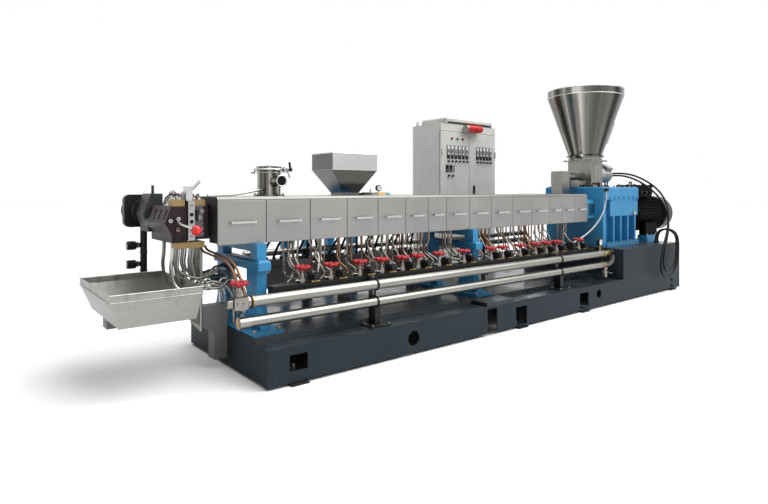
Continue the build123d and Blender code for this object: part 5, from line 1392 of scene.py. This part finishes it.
class EXTRUDER_OT_cabinet(Operator):
    """Instruments, lamps, handles and switchgear of the control cabinet"""
    bl_idname = "extruder.cabinet"
    bl_label = "Cabinet fittings"

    def execute(self, context):
        front = limits("cabinet_door_left")[0].y
        self.instruments("left", front, [3714 + 73.4 * number for number in range(6)])
        self.instruments("right", front, [4302 + 70 * number for number in range(5)])
        self.lamps(front)
        self.meters(front)
        self.door_furniture(front)
        self.outside()
        self.inside()
        return {"FINISHED"}

    def instruments(self, side, front, columns):
        """Columns of ammeter, controller and switch on one door, and their cases behind it."""
        half = sizes().instrument_width / 2
        x = columns[0]
        first = (x, front, 0)
        places = [(column, 0, 0) for column in columns]
        model = [bezel((x - half, front - 9, 1854), (x + half, front + 1, 1916), "plastic", 3, 3)]
        model += blocks(first, [((5 - half, -8.5, 1861), (half - 5, -5.5, 1910), "white", 1),
                                ((-1, -9.2, 1868), (1, -7, 1892), "dark", 0)])
        model.append(bezel((x - half, front - 10, 1736), (x + half, front + 1, 1848), "plastic", 4, 4))
        model += blocks(first, [((6 - half, -9, 1788), (half - 6, -5.5, 1842), "display", 1),
                                ((12 - half, -9.6, 1818), (half - 12, -7, 1834), "dark", 0)])
        for spot in grid((-13, 0, 13), [0], [1758], first):
            model += turned(spot, TO_FRONT, [(5, 9, 4, "dark", 10)])
        model += turned((x, front, 1700), TO_FRONT, [
            (-1, 6, 17, "zinc", 24, 2), (6, 26, 13, "plastic", 20, 4)])
        model += blocks(first, [((-4, -34, 1688), (4, -24, 1712), "plastic", 2)])
        parts = repeated(model, (x, 0, 0), places)
        piece(f"door_instruments_{side}", parts, f"door_{side}")
        inner = limits(f"cabinet_door_{side}")[1].y
        model = blocks((x, inner, 0), [((4 - half, 0, 1740), (half - 4, 62, 1842), "plastic", 3),
                                       ((6 - half, 0, 1860), (half - 6, 40, 1908), "plastic", 3)])
        parts = repeated(model, (x, 0, 0), places)
        piece(f"instrument_backs_{side}", parts, f"door_{side}")

    def lamps(self, front):
        """Three signal lamps in black collars."""
        parts = []
        for x, finish in ((3783, "lens"), (3892, "green"), (3998, "lens")):
            parts += turned((x, front, 2011), TO_FRONT, [
                (-1, 9, 17, "plastic", 24, 3), (9, 20, 12, finish, 20, 5)])
        piece("signal_lamps", parts, "door_left")

    def meters(self, front):
        """Two drive meters with keys, a narrow scale and two turning switches."""
        parts = []
        for x in (3692, 3763):
            parts.append(bezel((x - 24, front - 10, 1553), (x + 24, front + 1, 1649), "plastic", 5, 4))
            parts.append(block((x - 15, front - 8, 1608), (x + 15, front - 5.5, 1638), "dark", 0))
            for key in grid((x - 8, x + 8), [front], (1568, 1586)):
                parts += turned(key, TO_FRONT, [(5, 9, 4, "face", 10)])
        parts.append(bezel((3812, front - 8, 1553), (3836, front + 1, 1649), "face", 3, 3))
        for x in (3720, 3797):
            parts += turned((x, front, 1503), TO_FRONT, [
                (-1, 5, 21, "zinc", 28, 2), (5, 26, 16, "plastic", 24, 4, 13)])
            parts.append(block((x - 1.5, front - 27, 1504), (x + 1.5, front - 25, 1518), "white", 0))
        piece("drive_meters", parts, "door_left")

    def door_furniture(self, front):
        """Handle plate on the right door, hinges on both and two stiffeners behind each."""
        x = 4232
        handle = [bezel((x - 17, front - 6, 1236), (x + 17, front + 1, 1372), "plastic", 5, 3)]
        handle.append(block((x - 9, front - 22, 1262), (x + 9, front - 4, 1364), "plastic", 5))
        handle += turned((x, front, 1250), TO_FRONT, [(3, 8, 6, "zinc", 14, 1)])
        for side, parts, slot, pin, plate, ribs in (("right", handle, "solenoid_black", -8, -34, (40, -90)),
                                                    ("left", [], "cabinet_paint", 8, 8, (66, -64))):
            low, high = limits(f"cabinet_door_{side}")
            edge = high.x if side == "right" else low.x
            for z in (400, 1120, 1815):
                parts += turned((edge + pin, front - 7, z), UP, [(-45, 45, 8, "zinc", 14, 2)])
                parts += blocks((edge + plate, front, z), [((0, -4, -40), (26, 1, 40), "cabinet", 1)])
            for rib in (low.x + ribs[0], high.x + ribs[1]):
                corners = (rib, high.y - 1, low.z + 60), (rib + 24, high.y + 16, high.z - 60)
                parts.append(block(*corners, "cabinet", 2))
            piece(f"{side}_door_furniture", parts, f"door_{side}")

    def outside(self):
        """Lifting eyes, ribs of the beacon, side louvres and the plinth's panel."""
        low, high = limits("cabinet_base")
        top = limits("cabinet_sides")[1].z + 12
        parts = []
        for place in grid((low.x + 45, high.x - 45), (low.y + 50, high.y - 50), [top]):
            parts += turned(place, UP, [(0, 12, 20, "zinc", 20, 3)])
            parts.append(hoop(place + Vector((0, 0, 36)), TO_DRIVE, 21, 6, "zinc", 28, 8))
        piece("cabinet_eyes", parts)

        lamp_low, lamp_high = limits("cabinet_beacon")
        axis = (lamp_low + lamp_high) / 2
        start = Vector((lamp_low.x, axis.y, axis.z))
        long, half = lamp_high.x - lamp_low.x, (lamp_high.z - lamp_low.z) / 2
        parts = rings(start, TO_DRIVE, [
            (long * (0.03 + 0.14 * number), half - 1, 4, "lens", 32, 8) for number in range(7)])
        parts += turned(start, TO_DRIVE, [(-34, 4, half + 1, "lens", 32, 4)])
        piece("beacon_ribs", parts)

        parts = []
        for side in (low.x - 9, high.x - 1):
            model = [block((side, 2160, 330), (side + 10, 2400, 342), "cabinet", 2)]
            parts += repeated(model, (0, 0, 0), grid([0], [0], [26 * number for number in range(9)]))
        piece("cabinet_louvres", parts)
        self.rear_panels(low, high)
        parts = [block((low.x + 20, low.y - 1, 20), (high.x - 20, low.y + 2, 92), "dark", 0)]
        parts += bolts(grid((low.x + 60, high.x - 60), [low.y - 1], [56]), TO_FRONT, sizes().small_bolt)
        piece("cabinet_plinth_panel", parts)

    def rear_panels(self, low, high):
        """Two lift-off rear panels with screws and louvres."""
        middle = (low.x + high.x) / 2
        steps = [24 * number for number in range(9)]
        parts = []
        for left, right in ((low.x + 22, middle - 4), (middle + 4, high.x - 22)):
            parts.append(block((left, high.y - 1, 140), (right, high.y + 3, 2140), "cabinet", 1.5))
            parts += bolts(grid((left + 16, right - 16), [high.y + 3], (170, 820, 1460, 2110)), TO_REAR, 14)
            model = [block((left + 110, high.y + 2, 300), (right - 110, high.y + 11, 311), "cabinet", 2)]
            parts += repeated(model, (0, 0, 0), grid([0], [0], steps + [1500 + step for step in steps]))
        piece("cabinet_rear_panels", parts)

    def inside(self):
        """Mounting plate with wiring ducts, breakers, contactors and terminals."""
        low, high = limits("cabinet_base")
        back = high.y - 22
        left, right = low.x + 60, high.x - 60
        parts = [block((left, back - 14, 200), (right, back, 2080), "zinc", 2)]
        for z in (330, 700, 1070, 1440, 1810):
            parts.append(block((left + 30, back - 70, z), (right - 30, back - 14, z + 60), "face", 3))
            parts.append(block((left + 34, back - 24, z + 150), (right - 34, back - 14, z + 185), "zinc", 1))
        piece("mounting_plate", parts)
        parts = []
        for z, count, tall, share, finish in ((400, 15, 170, 0.86, "plastic"), (770, 11, 150, 0.78, "white"),
                                              (1140, 12, 130, 0.7, "plastic"), (1510, 16, 160, 0.9, "face")):
            pitch = (right - left - 120) / count
            wide = pitch * share
            model = blocks((left + 60, back, z), [
                ((0, -100, 70), (wide, -24, 70 + tall), finish, 3),
                ((wide * 0.25, -108, 110), (wide * 0.75, -98, 150), "dark", 2)])
            parts += repeated(model, (0, 0, 0), [(pitch * number, 0, 0) for number in range(count)])
        piece("switchgear", parts)


class EXTRUDER_OT_base(Operator):
    """Bolts and pads of the base, rim of the tray, lid and boxes of the rear trunk"""
    bl_idname = "extruder.base"
    bl_label = "Base fittings"

    def execute(self, context):
        parts = []
        for x in (128, 2390):
            parts += bolts(grid((x - 94, x + 94), (262, 500, 900, 1138), [321]), UP, sizes().large_bolt)
        piece("support_bolts", parts)

        pads = [block((x - 70, front, 0), (x + 70, front + 60, 14), "black", 3)
                for x in (229, 2649, 3738, 5839) for front in (-28, 1368)]
        piece("foot_pads", pads)

        end = limits("base_front_plate")[1].x
        parts = bolts(grid([end * 0.962], [-1], (52, 128)), TO_FRONT, 26, "black")
        piece("end_slot_bolts", parts)

        parts = []
        for x in (end * 0.1615, end * 0.5705):
            parts += bolts(grid((x - 78, x + 78), (56, 160), [270]), UP, 18)
            for pipe in (UPPER_PIPE, LOWER_PIPE):
                parts += bolts(grid([x], [40.5], (-56, 56), pipe), TO_FRONT, 13)
        piece("stand_bolts", parts)

        low, high = limits("strand_tray")
        parts = rim_rods(low, high, ((high.z - 3, 6, "tray", 10), (high.z - 47, 5, "tray", 10)))
        piece("tray_rolled_rim", parts)
        self.rear_trunk()
        return {"FINISHED"}

    def rear_trunk(self):
        """Lid with clips on the rear cable trunk, and low boxes with glands on top of it."""
        low, high = limits("rear_cable_trunk")
        top = high.z
        parts = [block((low.x - 4, low.y - 4, top - 14), (high.x + 4, high.y + 4, top + 4), "grey", 3)]
        for place in row((low.x + 80, 0, top), (high.x - 80, 0, top), 7):
            parts += blocks(place, [
                ((-16, y, -40), (16, y + 6, 2), "zinc", 2) for y in (high.y + 2, low.y - 8)])
        piece("trunk_lid", parts)
        gland_line, gap = 1045, 90
        parts = []
        start = low.x + 60
        for wide, tall, finish in ((220, 62, "grey"), (150, 48, "face"), (260, 70, "black"),
                                   (180, 54, "grey"), (240, 62, "face"), (160, 46, "black")):
            corners = (start, low.y + 14, top + 4), (start + wide, high.y - 14, top + 4 + tall)
            parts.append(block(*corners, finish, 5))
            parts += bolts(grid((start + 16, start + wide - 16), [low.y + 14], (top + 20, top + tall - 10)),
                           TO_FRONT, 10)
            glands = (start + 40, gland_line, top + tall), (start + wide - 40, gland_line, top + tall)
            for place in row(*glands, 3):
                parts += turned(place, UP, [(4, 28, 14, "plastic", 12, 3)])
            start += wide + gap
        piece("heater_boxes", parts)


class EXTRUDER_PT_panel(Panel):
    """Lists the groups of pieces"""
    bl_label = "Extruder"
    bl_idname = "EXTRUDER_PT_panel"
    bl_space_type = "VIEW_3D"
    bl_region_type = "UI"
    bl_category = "Extruder"

    def draw(self, context):
        for operator in OPERATORS:
            self.layout.operator(operator.bl_idname)
        for group in (colours(), sizes()):
            for name in group.__annotations__:
                self.layout.prop(group, name)


OPERATORS = (
    EXTRUDER_OT_finishes, EXTRUDER_OT_stage, EXTRUDER_OT_cords, EXTRUDER_OT_die, EXTRUDER_OT_covers,
    EXTRUDER_OT_water, EXTRUDER_OT_gearbox, EXTRUDER_OT_motor, EXTRUDER_OT_feeder, EXTRUDER_OT_side_feeder,
    EXTRUDER_OT_cabinet, EXTRUDER_OT_base,
)
CLASSES = (ExtruderColours, ExtruderSizes) + OPERATORS + (EXTRUDER_PT_panel,)


def register():
    for item in CLASSES:
        bpy.utils.register_class(item)
    bpy.types.Scene.extruder_colours = PointerProperty(type=ExtruderColours)
    bpy.types.Scene.extruder_sizes = PointerProperty(type=ExtruderSizes)


def unregister():
    del bpy.types.Scene.extruder_sizes
    del bpy.types.Scene.extruder_colours
    for item in reversed(CLASSES):
        bpy.utils.unregister_class(item)


def main():
    register()
    bpy.ops.extruder.finishes()
    bpy.ops.extruder.stage()
    bpy.ops.extruder.cords()
    bpy.ops.extruder.die()
    bpy.ops.extruder.covers()
    bpy.ops.extruder.water()
    bpy.ops.extruder.gearbox()
    bpy.ops.extruder.motor()
    bpy.ops.extruder.feeder()
    bpy.ops.extruder.side_feeder()
    bpy.ops.extruder.cabinet()
    bpy.ops.extruder.base()


if __name__ == "__main__":
    main()
